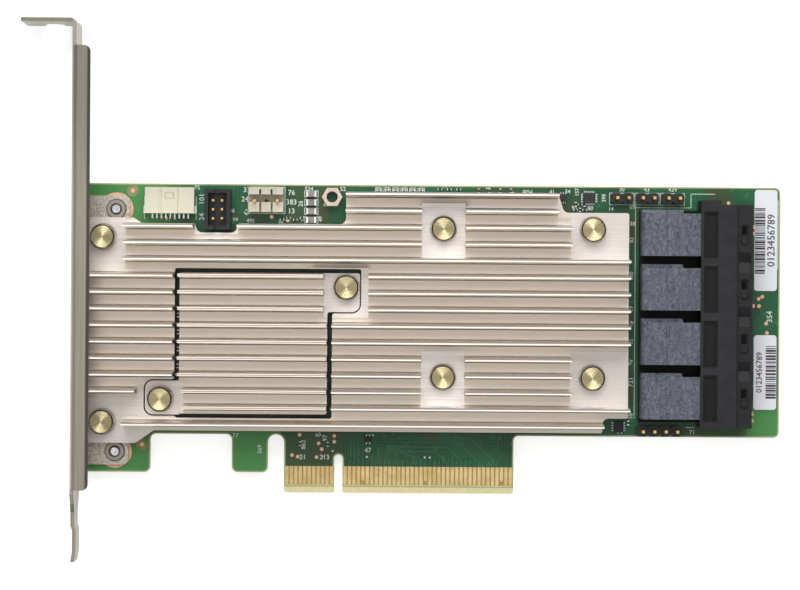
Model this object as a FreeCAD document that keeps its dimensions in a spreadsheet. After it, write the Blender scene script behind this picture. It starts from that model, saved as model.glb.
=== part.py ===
import FreeCAD, Part
import Sketcher
import math
import os

# Raid controller card, lying flat with its component side up.
# Origin: key notch centre line (X = 0), tip of the edge fingers (Y = 0) and the
# component face of the board (Z = 0). +X runs from the bracket to the drive
# connectors, +Y from the edge fingers to the top edge, +Z out of the component face.

SIZES = {
    # circuit board, its tabs and notches
    "board_length": 155.65,
    "board_height": 68.9,
    "board_thickness": 1.57,
    "board_west": -57.15,
    "board_lower_edge": 12.95,
    "board_corner": 1.3,
    "inner_corner": 1.1,
    "west_tab_length": 15.05,
    "west_tab_bottom": 4.34,
    "hook_west": -23.85,
    "hook_width": 8.05,
    "hook_bottom": 4.43,
    "hook_slot_width": 3.65,
    "finger_east": 39.15,
    "finger_corner": 0.5,
    "key_width": 1.9,
    "key_top": 8.5,
    "bevel_height": 1.3,
    "bevel_depth": 0.4,
    # gold edge contacts
    "contact_pitch": 1.0,
    "contact_width": 0.7,
    "contact_thickness": 0.05,
    "contact_top": 5.9,
    "contact_tip": 1.6,
    "contact_taper": 0.6,
    "contact_tip_width": 0.36,
    "contact_first": 1.5,
    "short_contact_tip": 2.7,
    # heat sinks: one extrusion lattice of fins, cut to shape
    "sink_gap": 2.0,
    "sink_base": 2.0,
    "fin_height": 10.0,
    "fin_pitch": 3.66,
    "fin_first_y": 15.44,
    "fin_tip_width": 0.58,
    "fin_root_width": 1.1,
    "fin_root_blend": 0.25,
    "milled_drop": 0.12,
    "flat_overlap": 1.4,
    "sink_west": -56.6,
    "sink_east": 64.5,
    "sink_south": 13.8,
    "sink_margin": 8.9,
    "sink_corner": 0.5,
    "sink_bend": 1.4,
    "shoulder_rise": 1.2,
    "shoulder_east": -45.9,
    "shoulder_slope": 1.8,
    "lobe_south": 10.95,
    "lobe_east": -45.2,
    "lobe_slope": 4.0,
    "crown_west": 1.4,
    "crown_east": 48.6,
    "crown_rise": 7.25,
    "crown_slope": 1.4,
    "east_rise": 2.9,
    "step_east": 58.8,
    "step_south": 17.1,
    "header_bay_west_gap": 2.2,
    "header_bay_east_gap": 1.7,
    "header_bay_slope": 0.7,
    "header_bay_corner": 1.3,
    "header_bay_floor_gap": 0.65,
    # window in the outer sink and the inner sink that stands in it
    "window_west": -36.65,
    "window_east": -1.55,
    "window_south": 16.65,
    "window_north": 50.0,
    "window_gap_x": 1.08,
    "window_gap_y": 0.93,
    "ear_gap": 0.3,
    "ear_corner": 1.8,
    "north_ear_east": 4.58,
    "north_ear_south": 40.4,
    "south_ear_west": -43.15,
    "south_ear_south": 17.35,
    "south_ear_north": 24.9,
    # milled flats that clear the push pins
    "flat_reach": 4.85,
    "west_flat_east": -47.7,
    "west_flat_drop": 7.25,
    "south_flat_east": -47.9,
    "south_flat_north": 21.0,
    "ear_flat_east": 6.5,
    "ear_flat_south": 39.2,
    "inner_flat_west": -3.4,
    "inner_flat_east": -34.6,
    "inner_flat_north": 24.6,
    "stub_flat_west": -45.0,
    # brass push pins and their springs
    "pin_west": -52.65,
    "pin_middle": 23.15,
    "pin_east": 56.4,
    "upper_pin_drop": 0.9,
    "pin_lower": 26.1,
    "west_pin_drop": 3.15,
    "pin_west_lower": 15.7,
    "ear_pin_north_x": 1.6,
    "ear_pin_north_y": 45.95,
    "ear_pin_south_x": -39.7,
    "ear_pin_south_y": 20.85,
    "head_diameter": 5.4,
    "head_thickness": 1.5,
    "head_lift": 4.0,
    "head_chamfer": 0.3,
    "shank_diameter": 2.6,
    "barb_diameter": 3.4,
    "barb_length": 2.4,
    "barb_tip_diameter": 1.8,
    "barb_slot": 0.5,
    "barb_slot_depth": 4.4,
    "shank_clearance": 0.25,
    "spring_bore_diameter": 6.0,
    "spring_bore_depth": 0.9,
    "spring_diameter": 4.6,
    "spring_wire": 0.45,
    # controller and what the sinks cover
    "controller_side": 29.0,
    "controller_x": -19.1,
    "controller_y": 33.3,
    "substrate_thickness": 1.05,
    "die_side": 17.0,
    "die_thickness": 0.8,
    "memory_length": 13.2,
    "memory_width": 9.0,
    "memory_thickness": 1.15,
    "memory_first_x": 8.5,
    "memory_pitch": 11.6,
    "memory_y": 41.0,
    "inductor_side": 6.6,
    "inductor_thickness": 1.7,
    "inductor_x": -48.6,
    "inductor_first_y": 30.0,
    "inductor_pitch": 8.2,
    "regulator_length": 5.0,
    "regulator_width": 4.0,
    "regulator_thickness": 0.9,
    "regulator_x": -41.8,
    "flash_length": 10.3,
    "flash_width": 7.5,
    "flash_thickness": 1.6,
    "flash_x": 38.0,
    "flash_y": 19.0,
    # steel mounting bracket
    "sheet": 0.86,
    "bracket_outer": -59.05,
    "bracket_rear": -3.18,
    "bracket_width": 18.42,
    "tab_top": 105.0,
    "tab_length": 11.43,
    "bend_inner": 0.4,
    "tongue_bottom": -15.3,
    "tongue_jog": 0.35,
    "tongue_jog_top": -7.2,
    "tongue_jog_drop": 1.0,
    "tongue_tip": 2.2,
    "tongue_width": 10.2,
    "tongue_shoulder": 0.0,
    "tongue_slope": 4.2,
    "notch_width": 4.42,
    "notch_centre": 5.05,
    "notch_depth": 5.6,
    "flange_reach": 4.1,
    "flange_bottom": 0.76,
    "flange_top": 98.9,
    "flange_corner": 1.4,
    "foot_east": -46.95,
    "foot_width": 7.4,
    "foot_corner": 1.3,
    "upper_foot_top": 66.15,
    "lower_foot_bottom": 5.97,
    "vent_across": 3.3,
    "vent_pitch": 4.3,
    "vent_first_y": 13.0,
    "vent_mid_z": 5.6,
    # bracket screws
    "screw_x": -50.0,
    "upper_screw_y": 63.1,
    "lower_screw_y": 8.97,
    "screw_diameter": 2.5,
    "screw_head_diameter": 5.4,
    "screw_head_thickness": 1.4,
    "screw_reach": 1.75,
    "screw_cross": 0.6,
    "collar_diameter": 4.1,
    "collar_top": 1.55,
    "thread_clearance": 0.06,
    "board_hole_diameter": 3.1,
    # four-port drive connector
    "shell_length": 11.5,
    "shell_south": 15.3,
    "shell_north": 65.75,
    "shell_height": 11.0,
    "shell_floor": 1.2,
    "tray_gap": 2.4,
    "tray_length": 13.2,
    "shell_end_step": 1.0,
    "shell_end_step_length": 7.1,
    "latch_step": 3.6,
    "latch_drop": 1.2,
    "latch_width": 1.9,
    "latch_length": 4.7,
    "latch_depth": 0.55,
    "latch_hole_length": 1.9,
    "latch_hole_depth": 1.5,
    "latch_boss_diameter": 1.5,
    "latch_boss_height": 0.4,
    "wedge_length": 4.4,
    "wedge_width": 2.6,
    "wedge_depth": 0.8,
    "window_recess_length": 10.3,
    "window_recess_width": 3.2,
    "window_recess_inset": 0.55,
    "window_recess_depth": 0.3,
    "window_frame": 0.42,
    "window_pane_depth": 0.8,
    "port_first_y": 21.87,
    "port_pitch": 12.07,
    "port_width": 10.4,
    "port_height": 7.6,
    "port_back_wall": 0.9,
    "tongue_block_width": 8.6,
    "tongue_block_height": 5.6,
    "tongue_block_length": 5.4,
    "slot_width": 7.6,
    "slot_height": 1.0,
    "slot_depth": 4.6,
    "slot_spacing": 2.9,
    "blade_width": 0.36,
    "blade_thickness": 0.22,
    "blade_length": 4.0,
    "blade_pitch": 0.75,
    "housing_width": 9.4,
    "housing_top": 10.0,
    "housing_chamfer": 0.5,
    "housing_ledge": 0.85,
    "housing_ledge_drop": 1.1,
    "housing_ledge_end": 3.9,
    "housing_seam": 0.2,
    "housing_seam_x": 5.6,
    # white wire connector on the top edge
    "wire_socket_west": -43.45,
    "wire_socket_length": 10.95,
    "wire_socket_margin": 0.9,
    "wire_socket_depth": 5.8,
    "wire_socket_height": 4.1,
    "wire_socket_wall": 0.6,
    "wire_cavity_depth": 4.3,
    "wire_pin_pitch": 1.0,
    "wire_pin_side": 0.3,
    "wire_pin_length": 3.6,
    "wire_tail_length": 1.1,
    "wire_cavity_floor": 1.2,
    "wire_clip_width": 0.45,
    "wire_clip_length": 1.7,
    "wire_clip_height": 1.5,
    # black shrouded header
    "shroud_west": -30.1,
    "shroud_length": 5.8,
    "shroud_margin": 1.3,
    "shroud_depth": 9.0,
    "shroud_height": 6.4,
    "shroud_wall": 0.85,
    "shroud_floor": 2.0,
    "shroud_key_width": 1.6,
    "shroud_pin_pitch": 2.0,
    "shroud_pin_side": 0.5,
    "shroud_pin_top": 5.4,
    # white three-place key header
    "key_header_west": -20.3,
    "key_header_length": 7.7,
    "key_header_margin": 0.9,
    "key_header_depth": 5.4,
    "key_header_base": 1.4,
    "key_header_height": 5.8,
    "key_header_back": 1.5,
    "key_header_teeth": 2.2,
    "key_header_slit": 0.45,
    "header_pitch": 2.54,
    "header_pin_side": 0.64,
    "header_pin_top": 8.6,
    "header_pin_tail": 1.2,
    "header_body_width": 2.4,
    "header_body_height": 2.5,
    "header_corner": 0.55,
    "led_header_first_x": 62.95,
    "led_header_pitch": 5.68,
    "led_header_margin": 2.65,
    "test_header_first_x": 67.7,
    "test_header_y": 14.35,
    # small parts on the front
    "standoff_x": -1.75,
    "standoff_margin": 2.8,
    "standoff_across": 4.0,
    "standoff_height": 3.0,
    "standoff_bore_diameter": 2.5,
    "big_cap_length": 2.3,
    "big_cap_width": 1.35,
    "big_cap_height": 1.25,
    "big_cap_x": -6.45,
    "big_cap_margin": 2.07,
    "big_cap_pitch": 1.95,
    "big_cap_end": 0.45,
    "small_cap_length": 1.0,
    "small_cap_width": 0.5,
    "small_cap_height": 0.5,
    "small_cap_end": 0.25,
    "edge_caps_first_x": 8.6,
    "edge_caps_pitch": 1.9,
    "edge_caps_margin": 1.1,
    "quad_chip_x": 55.7,
    "quad_chip_margin": 2.6,
    "quad_chip_length": 2.8,
    "quad_chip_width": 2.3,
    "quad_chip_height": 0.8,
    "logic_chip_x": 49.9,
    "logic_chip_margin": 2.6,
    "logic_chip_side": 1.7,
    "logic_chip_height": 0.75,
    "monitor_chip_x": 62.6,
    "monitor_chip_y": 15.2,
    "monitor_chip_length": 2.2,
    "monitor_chip_width": 2.5,
    "monitor_chip_height": 0.9,
    "transistor_x": 6.6,
    "transistor_y": 12.0,
    "transistor_length": 1.6,
    "transistor_width": 1.3,
    "transistor_height": 0.7,
    # labels
    "label_thickness": 0.1,
    "label_width": 5.1,
    "label_gap": 1.15,
    "label_corner": 0.7,
    "upper_label_south": 45.8,
    "upper_label_length": 22.6,
    "lower_label_south": 19.2,
    "lower_label_length": 16.7,
    # parts on the back
    "back_cap_columns_pitch": 2.6,
    "back_cap_rows_pitch": 2.2,
    "back_cap_first_x": -24.4,
    "back_cap_first_y": 28.9,
    "back_chip_x": -40.0,
    "back_chip_y": 38.0,
    "back_chip_side": 7.0,
    "back_chip_height": 0.85,
}

# How many of each repeated thing there are.
CONTACTS_WEST = 11
CONTACTS_EAST = 38
SHORT_FRONT = (15, 29, 46)  # front contacts that touch last, counted from the key outwards
SHORT_BACK = (10,)
FINS = 15
INNER_FINS = 9
MEMORY_CHIPS = 4
INDUCTORS = 3
PORTS = 4
BLADES = 9
WIRE_PINS = 9
SHROUD_ROWS = 3
LED_HEADERS = 3
TEST_PINS = 4
BIG_CAPS = 4
EDGE_CAPS = 6
BACK_CAP_COLUMNS = 5
BACK_CAP_ROWS = 5
VENT_ROWS = 11

FACE = 0.0  # height of the component face
THROUGH = 5.0  # how far a cutting profile runs past what it cuts
PIN_HOLE_SHARE = 1.6  # width of a header pin's hole, drawn with six flats, to the pin's side
TOUCH = 1e-4  # two places closer than this are the same place

doc = FreeCAD.newDocument("raid_controller_card")
sheet = doc.addObject("Spreadsheet::Sheet", "Sizes")
for row, (alias, length) in enumerate(SIZES.items(), start=1):
    sheet.set(f"A{row}", alias)
    sheet.set(f"B{row}", str(length))
    sheet.setAlias(f"B{row}", alias)
doc.recompute()


class Size:
    """A length that knows its value and the sheet formula that gives it."""

    def __init__(self, value, formula):
        self.value = float(value)
        self.formula = formula

    def __add__(self, other):
        other = size(other)
        return Size(self.value + other.value, f"({self.formula} + {other.formula})")

    def __sub__(self, other):
        other = size(other)
        return Size(self.value - other.value, f"({self.formula} - {other.formula})")

    def __mul__(self, factor):
        factor = size(factor)
        return Size(self.value * factor.value, f"({self.formula} * {factor.formula})")

    def __truediv__(self, other):
        other = size(other)
        return Size(self.value / other.value, f"({self.formula} / {other.formula})")

    def __neg__(self):
        return Size(0, "0") - self

    def __radd__(self, other):
        return size(other) + self

    def __rsub__(self, other):
        return size(other) - self

    def __rmul__(self, other):
        return size(other) * self


def size(item):
    return item if isinstance(item, Size) else Size(item, repr(float(item)))


class SheetSizes:
    """Reads a driving dimension of the sheet by its alias."""

    def __getattr__(self, alias):
        return Size(sheet.get(alias), f"Sizes.{alias}")


S = SheetSizes()
drawn_on = {}  # sketch name: the origin plane it lies on
to_round = {}  # sketch name: the corners that its feature has still to round


def bind(thing, path, length):
    thing.setExpression(path, size(length).formula)


def place(thing, x=0, y=0, z=0):
    for axis, length in zip("xyz", (x, y, z)):
        bind(thing, f"Placement.Base.{axis}", length)


# ---------------------------------------------------------------- sketches


def new_body(name):
    body = doc.addObject("PartDesign::Body", name)
    body.Label = name
    return body


def new_sketch(body, plane, name, offset=0):
    """A sketch on one of the body's origin planes, moved along the plane's normal."""
    sketch = body.newObject("Sketcher::SketchObject", name)
    role = f"{plane}_Plane"
    support = [feature for feature in body.Origin.OriginFeatures if feature.Role == role][0]
    drawn_on[sketch.Name] = plane
    sketch.AttachmentSupport = [(support, "")]
    sketch.MapMode = "FlatFace"
    bind(sketch, "AttachmentOffset.Base.z", offset)
    return sketch


def constrain(sketch, drivers, others=()):
    """Adds plain constraints, then the named ones that follow the sheet."""
    sketch.addConstraint(list(others))
    for number, (kind, where, length) in enumerate(drivers):
        index = sketch.addConstraint(Sketcher.Constraint(kind, *where, size(length).value))
        driver = f"size_{sketch.ConstraintCount}_{number}"
        sketch.renameConstraint(index, driver)
        bind(sketch, f"Constraints.{driver}", length)


def outline(sketch, corners):
    """Closes an outline of straight sides; a corner is (x, y) or (x, y, radius).

    A corner with a radius is rounded on the solid, by the feature that uses the sketch.
    """
    points = [FreeCAD.Vector(size(c[0]).value, size(c[1]).value, 0) for c in corners]
    sides = []
    for here, following in zip(points, points[1:] + points[:1]):
        sides.append(sketch.addGeometry(Part.LineSegment(here, following), False))
    drivers, joins = [], []
    for number, corner in enumerate(corners):
        before, after = sides[number - 1], sides[number]
        joins.append(Sketcher.Constraint("Coincident", before, 2, after, 1))
        drivers.append(("DistanceX", (after, 1), corner[0]))
        drivers.append(("DistanceY", (after, 1), corner[1]))
        if len(corner) == 3:
            to_round.setdefault(sketch.Name, []).append(corner)
    constrain(sketch, drivers, joins)


def rectangle(sketch, west, east, south, north, radius=None):
    corners = [(west, south), (east, south), (east, north), (west, north)]
    if radius is not None:
        corners = [(x, y, radius) for x, y in corners]
    outline(sketch, corners)


def circle(sketch, x, y, diameter):
    centre = FreeCAD.Vector(size(x).value, size(y).value, 0)
    ring = Part.Circle(centre, FreeCAD.Vector(0, 0, 1), size(diameter).value / 2)
    index = sketch.addGeometry(ring, False)
    drivers = [("DistanceX", (index, 3), x), ("DistanceY", (index, 3), y), ("Diameter", (index,), diameter)]
    constrain(sketch, drivers)


def hexagon(sketch, x, y, across):
    """A hexagon with two flat sides facing left and right."""
    side = across / math.sqrt(3)
    half = across / 2
    corners = [(x + half, y - side / 2), (x + half, y + side / 2), (x, y + side)]
    corners += [(x - half, y + side / 2), (x - half, y - side / 2), (x, y - side)]
    outline(sketch, corners)


def round_slot(sketch, x, width, low, top):
    """A slot from low up to a half-round end whose highest point is at top."""
    reach = size(width) / 2
    west, east, spring_line = size(x) - reach, size(x) + reach, size(top) - reach
    spots = [(west, low), (east, low), (east, spring_line), (west, spring_line)]
    a, b, c, d = [FreeCAD.Vector(size(u).value, size(v).value, 0) for u, v in spots]
    crest = FreeCAD.Vector(size(x).value, size(top).value, 0)
    base = sketch.addGeometry(Part.LineSegment(a, b), False)
    right = sketch.addGeometry(Part.LineSegment(b, c), False)
    arc = sketch.addGeometry(Part.Arc(c, crest, d), False)
    left = sketch.addGeometry(Part.LineSegment(d, a), False)
    joins = [
        Sketcher.Constraint("Coincident", base, 2, right, 1),
        Sketcher.Constraint("Coincident", right, 2, arc, 1),
        Sketcher.Constraint("Coincident", arc, 2, left, 1),
        Sketcher.Constraint("Coincident", left, 2, base, 1),
    ]
    drivers = [("DistanceX", (base, 1), west), ("DistanceY", (base, 1), low)]
    drivers += [("DistanceX", (right, 1), east), ("DistanceY", (right, 1), low)]
    drivers += [("DistanceX", (right, 2), east), ("DistanceY", (right, 2), spring_line)]
    drivers += [("DistanceX", (left, 1), west), ("DistanceY", (left, 1), spring_line)]
    drivers += [("DistanceY", (arc, 3), spring_line)]
    constrain(sketch, drivers, joins)


def fold_outline(sketch, corners):
    """A closed outline whose (x, y, centre_y) corners are reached by a quarter turn."""
    points = [FreeCAD.Vector(size(c[0]).value, size(c[1]).value, 0) for c in corners]
    count = len(points)
    pieces, drivers, joins = [], [], []
    for number, corner in enumerate(corners):
        last, here = points[number - 1], points[number]
        if len(corner) == 2:
            index = sketch.addGeometry(Part.LineSegment(last, here), False)
            pieces.append((index, 1, 2))
            continue
        level = size(corner[2]).value
        centre = FreeCAD.Vector(here.x if abs(last.y - level) < TOUCH else last.x, level, 0)
        radius = (here - centre).Length
        middle = centre + (last + here - centre * 2).normalize() * radius
        turns_left = (last - centre).cross(here - centre).z > 0
        first, second = (last, here) if turns_left else (here, last)
        index = sketch.addGeometry(Part.Arc(first, middle, second), False)
        pieces.append((index, 1, 2) if turns_left else (index, 2, 1))
        drivers.append(("DistanceY", (index, 3), corner[2]))
    for number, corner in enumerate(corners):
        index, start, end = pieces[number]
        following, next_start, next_end = pieces[(number + 1) % count]
        joins.append(Sketcher.Constraint("Coincident", index, end, following, next_start))
        drivers.append(("DistanceX", (index, end), corner[0]))
        drivers.append(("DistanceY", (index, end), corner[1]))
    constrain(sketch, drivers, joins)


# ---------------------------------------------------------------- features


def pad(body, sketch, length, reverse=False):
    feature = body.newObject("PartDesign::Pad", f"{sketch.Name}_pad")
    feature.Profile = sketch
    feature.Reversed = reverse
    bind(feature, "Length", length)
    round_corners(body, sketch)
    return feature


def pocket(body, sketch, depth=None, reverse=False):
    """Cuts a sketch to a depth, or both ways right through when no depth is given."""
    doc.recompute()
    before = body.Shape.Volume
    feature = body.newObject("PartDesign::Pocket", f"{sketch.Name}_pocket")
    feature.Profile = sketch
    if depth is None:
        feature.Type = "ThroughAll"
        feature.Midplane = True
    else:
        feature.Reversed = reverse
        bind(feature, "Length", depth)
    doc.recompute()
    if not body.Shape.Volume < before:
        raise RuntimeError(f"{feature.Name} cuts nothing")
    round_corners(body, sketch)
    return feature


def round_corners(body, sketch):
    """Rounds the solid's edges that rise from the sketch's rounded corners."""
    across, up = ("XYZ".index(axis) for axis in drawn_on[sketch.Name])
    groups = {}
    for x, y, radius in to_round.pop(sketch.Name, []):
        groups.setdefault(size(radius).formula, (radius, []))[1].append((x, y))
    for number, (radius, spots) in enumerate(groups.values(), start=1):
        at_corners = [(lambda *p, u=u, v=v: near(p[across], u) and near(p[up], v)) for u, v in spots]
        fillet(body, f"{sketch.Name}_round_{number}", radius, *at_corners)


def row_of(body, feature, axis, pitch, count):
    """Repeats a feature along an origin axis of its body."""
    pattern = body.newObject("PartDesign::LinearPattern", f"{feature.Name}_row")
    pattern.Originals = [feature]
    direction = [line for line in body.Origin.OriginFeatures if line.Role == f"{axis}_Axis"][0]
    pattern.Direction = (direction, [""])
    bind(pattern, "Length", size(pitch) * (count - 1))
    pattern.Occurrences = count
    body.Tip = pattern
    return pattern


def edges_where(shape, tests):
    """Names of the edges whose two ends both satisfy one of the tests of x, y, z."""
    names = []
    for number, edge in enumerate(shape.Edges, start=1):
        ends = [tuple(vertex.Point) for vertex in edge.Vertexes]
        if len(ends) == 2 and any(test(*ends[0]) and test(*ends[1]) for test in tests):
            names.append(f"Edge{number}")
    return names


def near(value, length):
    return abs(value - size(length).value) < TOUCH


def fillet(body, name, radius, *tests):
    return dress(body, "PartDesign::Fillet", name, "Radius", radius, tests)


def chamfer(body, name, length, *tests):
    return dress(body, "PartDesign::Chamfer", name, "Size", length, tests)


def dress(body, kind, name, property_name, length, tests):
    doc.recompute()
    base = body.Tip
    names = edges_where(base.Shape, tests)
    if not names:
        raise RuntimeError(f"{name} finds no edge")
    feature = body.newObject(kind, name)
    feature.Base = (base, names)
    bind(feature, property_name, length)
    doc.recompute()
    return feature


def block(name, length, width, height):
    solid = doc.addObject("Part::Box", name)
    bind(solid, "Length", length)
    bind(solid, "Width", width)
    bind(solid, "Height", height)
    return solid


def link_to(master, name, x, y, z):
    link = doc.addObject("App::Link", name)
    link.LinkedObject = master
    place(link, x, y, z)
    return link


def copies(label, master, spots):
    """One node that holds a copy of the master at each spot (x, y, z)."""
    links = [link_to(master, f"{label}_{number}", *spot) for number, spot in enumerate(spots, start=1)]
    return group(label, links)


def group(label, members):
    compound = doc.addObject("Part::Compound", label)
    compound.Links = members
    compound.Label = label
    return compound


# ---------------------------------------------------------------- shared places

board_top_edge = S.board_height
board_east = S.board_west + S.board_length
board_back = -S.board_thickness
finger_west = S.hook_west + S.hook_width + S.hook_slot_width

sink_north = board_top_edge - S.sink_margin
shoulder_north = sink_north + S.shoulder_rise
crown_north = sink_north + S.crown_rise
east_north = sink_north + S.east_rise
pin_upper = sink_north - S.upper_pin_drop
pin_west_upper = sink_north - S.west_pin_drop
base_top = S.sink_gap + S.sink_base
fin_top = base_top + S.fin_height
milled_floor = base_top - S.milled_drop

outer_pins = [
    (S.pin_west, pin_west_upper),
    (S.pin_middle, pin_upper),
    (S.pin_east, pin_upper),
    (S.pin_west, S.pin_west_lower),
    (S.pin_middle, S.pin_lower),
    (S.pin_east, S.pin_lower),
]
inner_pins = [
    (S.ear_pin_north_x, S.ear_pin_north_y),
    (S.ear_pin_south_x, S.ear_pin_south_y),
]
bracket_screws = [(S.screw_x, S.upper_screw_y), (S.screw_x, S.lower_screw_y)]

wire_socket_south = board_top_edge - S.wire_socket_margin - S.wire_socket_depth
shroud_south = board_top_edge - S.shroud_margin - S.shroud_depth
key_header_south = board_top_edge - S.key_header_margin - S.key_header_depth
led_header_y = board_top_edge - S.led_header_margin
header_bay_west = S.shroud_west - S.header_bay_west_gap
header_bay_east = S.shroud_west + S.shroud_length + S.header_bay_east_gap
header_bay_floor = shroud_south - S.header_bay_floor_gap

shroud_middle = S.shroud_west + S.shroud_length / 2
shroud_pins = [
    (
        shroud_middle + S.shroud_pin_pitch * (column - 0.5),
        shroud_south + S.shroud_depth / 2 + S.shroud_pin_pitch * (line - (SHROUD_ROWS - 1) / 2),
    )
    for column in range(2)
    for line in range(SHROUD_ROWS)
]
key_header_middle = S.key_header_west + S.key_header_length / 2
key_pin_y = key_header_south + S.key_header_depth / 2 - S.key_header_slit / 2
key_pins = [(key_header_middle + S.header_pitch * side, key_pin_y) for side in (-1, 1)]
led_middles = [S.led_header_first_x + S.led_header_pitch * number for number in range(LED_HEADERS)]
led_pins = [(x + S.header_pitch * side / 2, led_header_y) for x in led_middles for side in (-1, 1)]
test_pins = [
    (S.test_header_first_x + S.header_pitch * number, S.test_header_y) for number in range(TEST_PINS)
]
tray_west = S.sink_east + S.tray_gap
shell_west = tray_west + S.tray_length
shell_east = shell_west + S.shell_length
port_middles = [S.port_first_y + S.port_pitch * number for number in range(PORTS)]


# ---------------------------------------------------------------- circuit board


def circuit_board():
    body = new_body("circuit_board")
    edge = new_sketch(body, "XY", "board_outline")
    tab_east = S.board_west + S.west_tab_length
    hook_east = S.hook_west + S.hook_width
    outer, inner = S.board_corner, S.inner_corner
    outline(
        edge,
        [
            (S.board_west, S.west_tab_bottom, outer),
            (tab_east, S.west_tab_bottom, outer),
            (tab_east, S.board_lower_edge, outer),
            (S.hook_west, S.board_lower_edge, outer),
            (S.hook_west, S.hook_bottom, outer),
            (hook_east, S.hook_bottom, outer),
            (hook_east, S.board_lower_edge - S.hook_slot_width),
            (finger_west, S.board_lower_edge - S.hook_slot_width),
            (finger_west, 0, S.finger_corner),
            (S.finger_east, 0, S.finger_corner),
            (S.finger_east, S.board_lower_edge, inner),
            (board_east, S.board_lower_edge, outer),
            (board_east, board_top_edge, outer),
            (S.board_west, board_top_edge, outer),
        ],
    )
    pad(body, edge, S.board_thickness, reverse=True)

    slots = new_sketch(body, "XY", "board_slots")
    round_slot(slots, (hook_east + finger_west) / 2, S.hook_slot_width, S.hook_bottom, S.board_lower_edge)
    round_slot(slots, 0, S.key_width, -THROUGH, S.key_top)
    pocket(body, slots)

    holes = new_sketch(body, "XY", "board_holes")
    for x, y in bracket_screws:
        circle(holes, x, y, S.board_hole_diameter)
    for x, y in outer_pins + inner_pins:
        circle(holes, x, y, S.shank_diameter + S.shank_clearance * 2)
    for x, y in shroud_pins:
        hexagon(holes, x, y, S.shroud_pin_side * PIN_HOLE_SHARE)
    for x, y in key_pins + led_pins + test_pins:
        hexagon(holes, x, y, S.header_pin_side * PIN_HOLE_SHARE)
    pocket(body, holes)

    for side, level, slope in (("front", FACE, -1), ("back", board_back, 1)):
        bevel = new_sketch(body, "YZ", f"{side}_bevel")
        foot = (0, size(level) + S.bevel_depth * slope)
        outline(bevel, [foot, (S.bevel_height, level), (0, level)])
        pocket(body, bevel)
    return body


def contact_columns():
    """Places of the contacts either side of the key notch."""
    west = [-S.contact_first - S.contact_pitch * number for number in range(CONTACTS_WEST)]
    east = [S.contact_first + S.contact_pitch * number for number in range(CONTACTS_EAST)]
    return west + east


def contact_blade(name, tip):
    """A gold pad that narrows towards the board's edge and ends at the tip."""
    body = new_body(name)
    blade = new_sketch(body, "XY", f"{name}_outline")
    half, tip_half = S.contact_width / 2, S.contact_tip_width / 2
    right = [(tip_half, tip), (half, tip + S.contact_taper), (half, S.contact_top)]
    left = [(-x, y) for x, y in reversed(right)]
    outline(blade, right + left)
    pad(body, blade, S.contact_thickness)
    return body


def edge_contacts():
    full = contact_blade("edge_contact", S.contact_tip)
    short = contact_blade("short_contact", S.short_contact_tip)
    columns = contact_columns()
    sides = [
        ("edge_contacts_front", FACE, SHORT_FRONT),
        ("edge_contacts_back", board_back - S.contact_thickness, SHORT_BACK),
    ]
    nodes = []
    for label, level, shorter in sides:
        links = []
        for number, x in enumerate(columns):
            master = short if number in shorter else full
            links.append(link_to(master, f"{label}_{number}", x, 0, level))
        nodes.append(group(label, links))
    return nodes


# ---------------------------------------------------------------- heat sinks


def cut_fins(body, name, first_gap, gaps):
    """Leaves the fin lattice standing by cutting one drafted channel per gap."""
    channel = new_sketch(body, "YZ", f"{name}_channel")
    middle = S.fin_first_y + S.fin_pitch * (first_gap - 0.5)
    low = (S.fin_pitch - S.fin_root_width) / 2
    high = (S.fin_pitch - S.fin_tip_width) / 2
    blend = S.fin_root_blend
    root = [(low - blend, base_top), (low, base_top + blend), (high, fin_top)]
    right = [(middle + reach, level) for reach, level in root]
    left = [(middle - reach, level) for reach, level in reversed(root)]
    outline(channel, right + left)
    cut = pocket(body, channel)
    return row_of(body, cut, "Y", S.fin_pitch, gaps)


def fin_row(number):
    return S.fin_first_y + S.fin_pitch * number


def fin_below(y):
    """North foot of the last fin whose row starts south of y."""
    number = math.floor((y.value - S.fin_first_y.value) / S.fin_pitch.value)
    return fin_row(number) + S.fin_root_width / 2


def gap_above(y):
    """Middle of the gap that follows the last fin south of y."""
    number = math.floor((y.value - S.fin_first_y.value) / S.fin_pitch.value)
    return fin_row(number) + S.fin_pitch / 2


def flat_around(x, y):
    """A flat that clears a pin, from the foot of one fin to the middle of a gap."""
    reach = S.flat_reach
    return (x - reach, x + reach, fin_below(y - reach), gap_above(y + reach))


def mill_flat(body, name, spots):
    """Mills rectangles (west, east, south, north) down to the flat floor."""
    sketch = new_sketch(body, "XY", name, fin_top)
    for west, east, south, north in spots:
        rectangle(sketch, west, east, south, north)
    pocket(body, sketch, fin_top - milled_floor)


def drill_for_pins(body, name, spots):
    shanks = new_sketch(body, "XY", f"{name}_pin_holes")
    for x, y in spots:
        circle(shanks, x, y, S.shank_diameter + S.shank_clearance * 2)
    pocket(body, shanks)
    bores = new_sketch(body, "XY", f"{name}_spring_bores", milled_floor)
    for x, y in spots:
        circle(bores, x, y, S.spring_bore_diameter)
    pocket(body, bores, S.spring_bore_depth)


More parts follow.
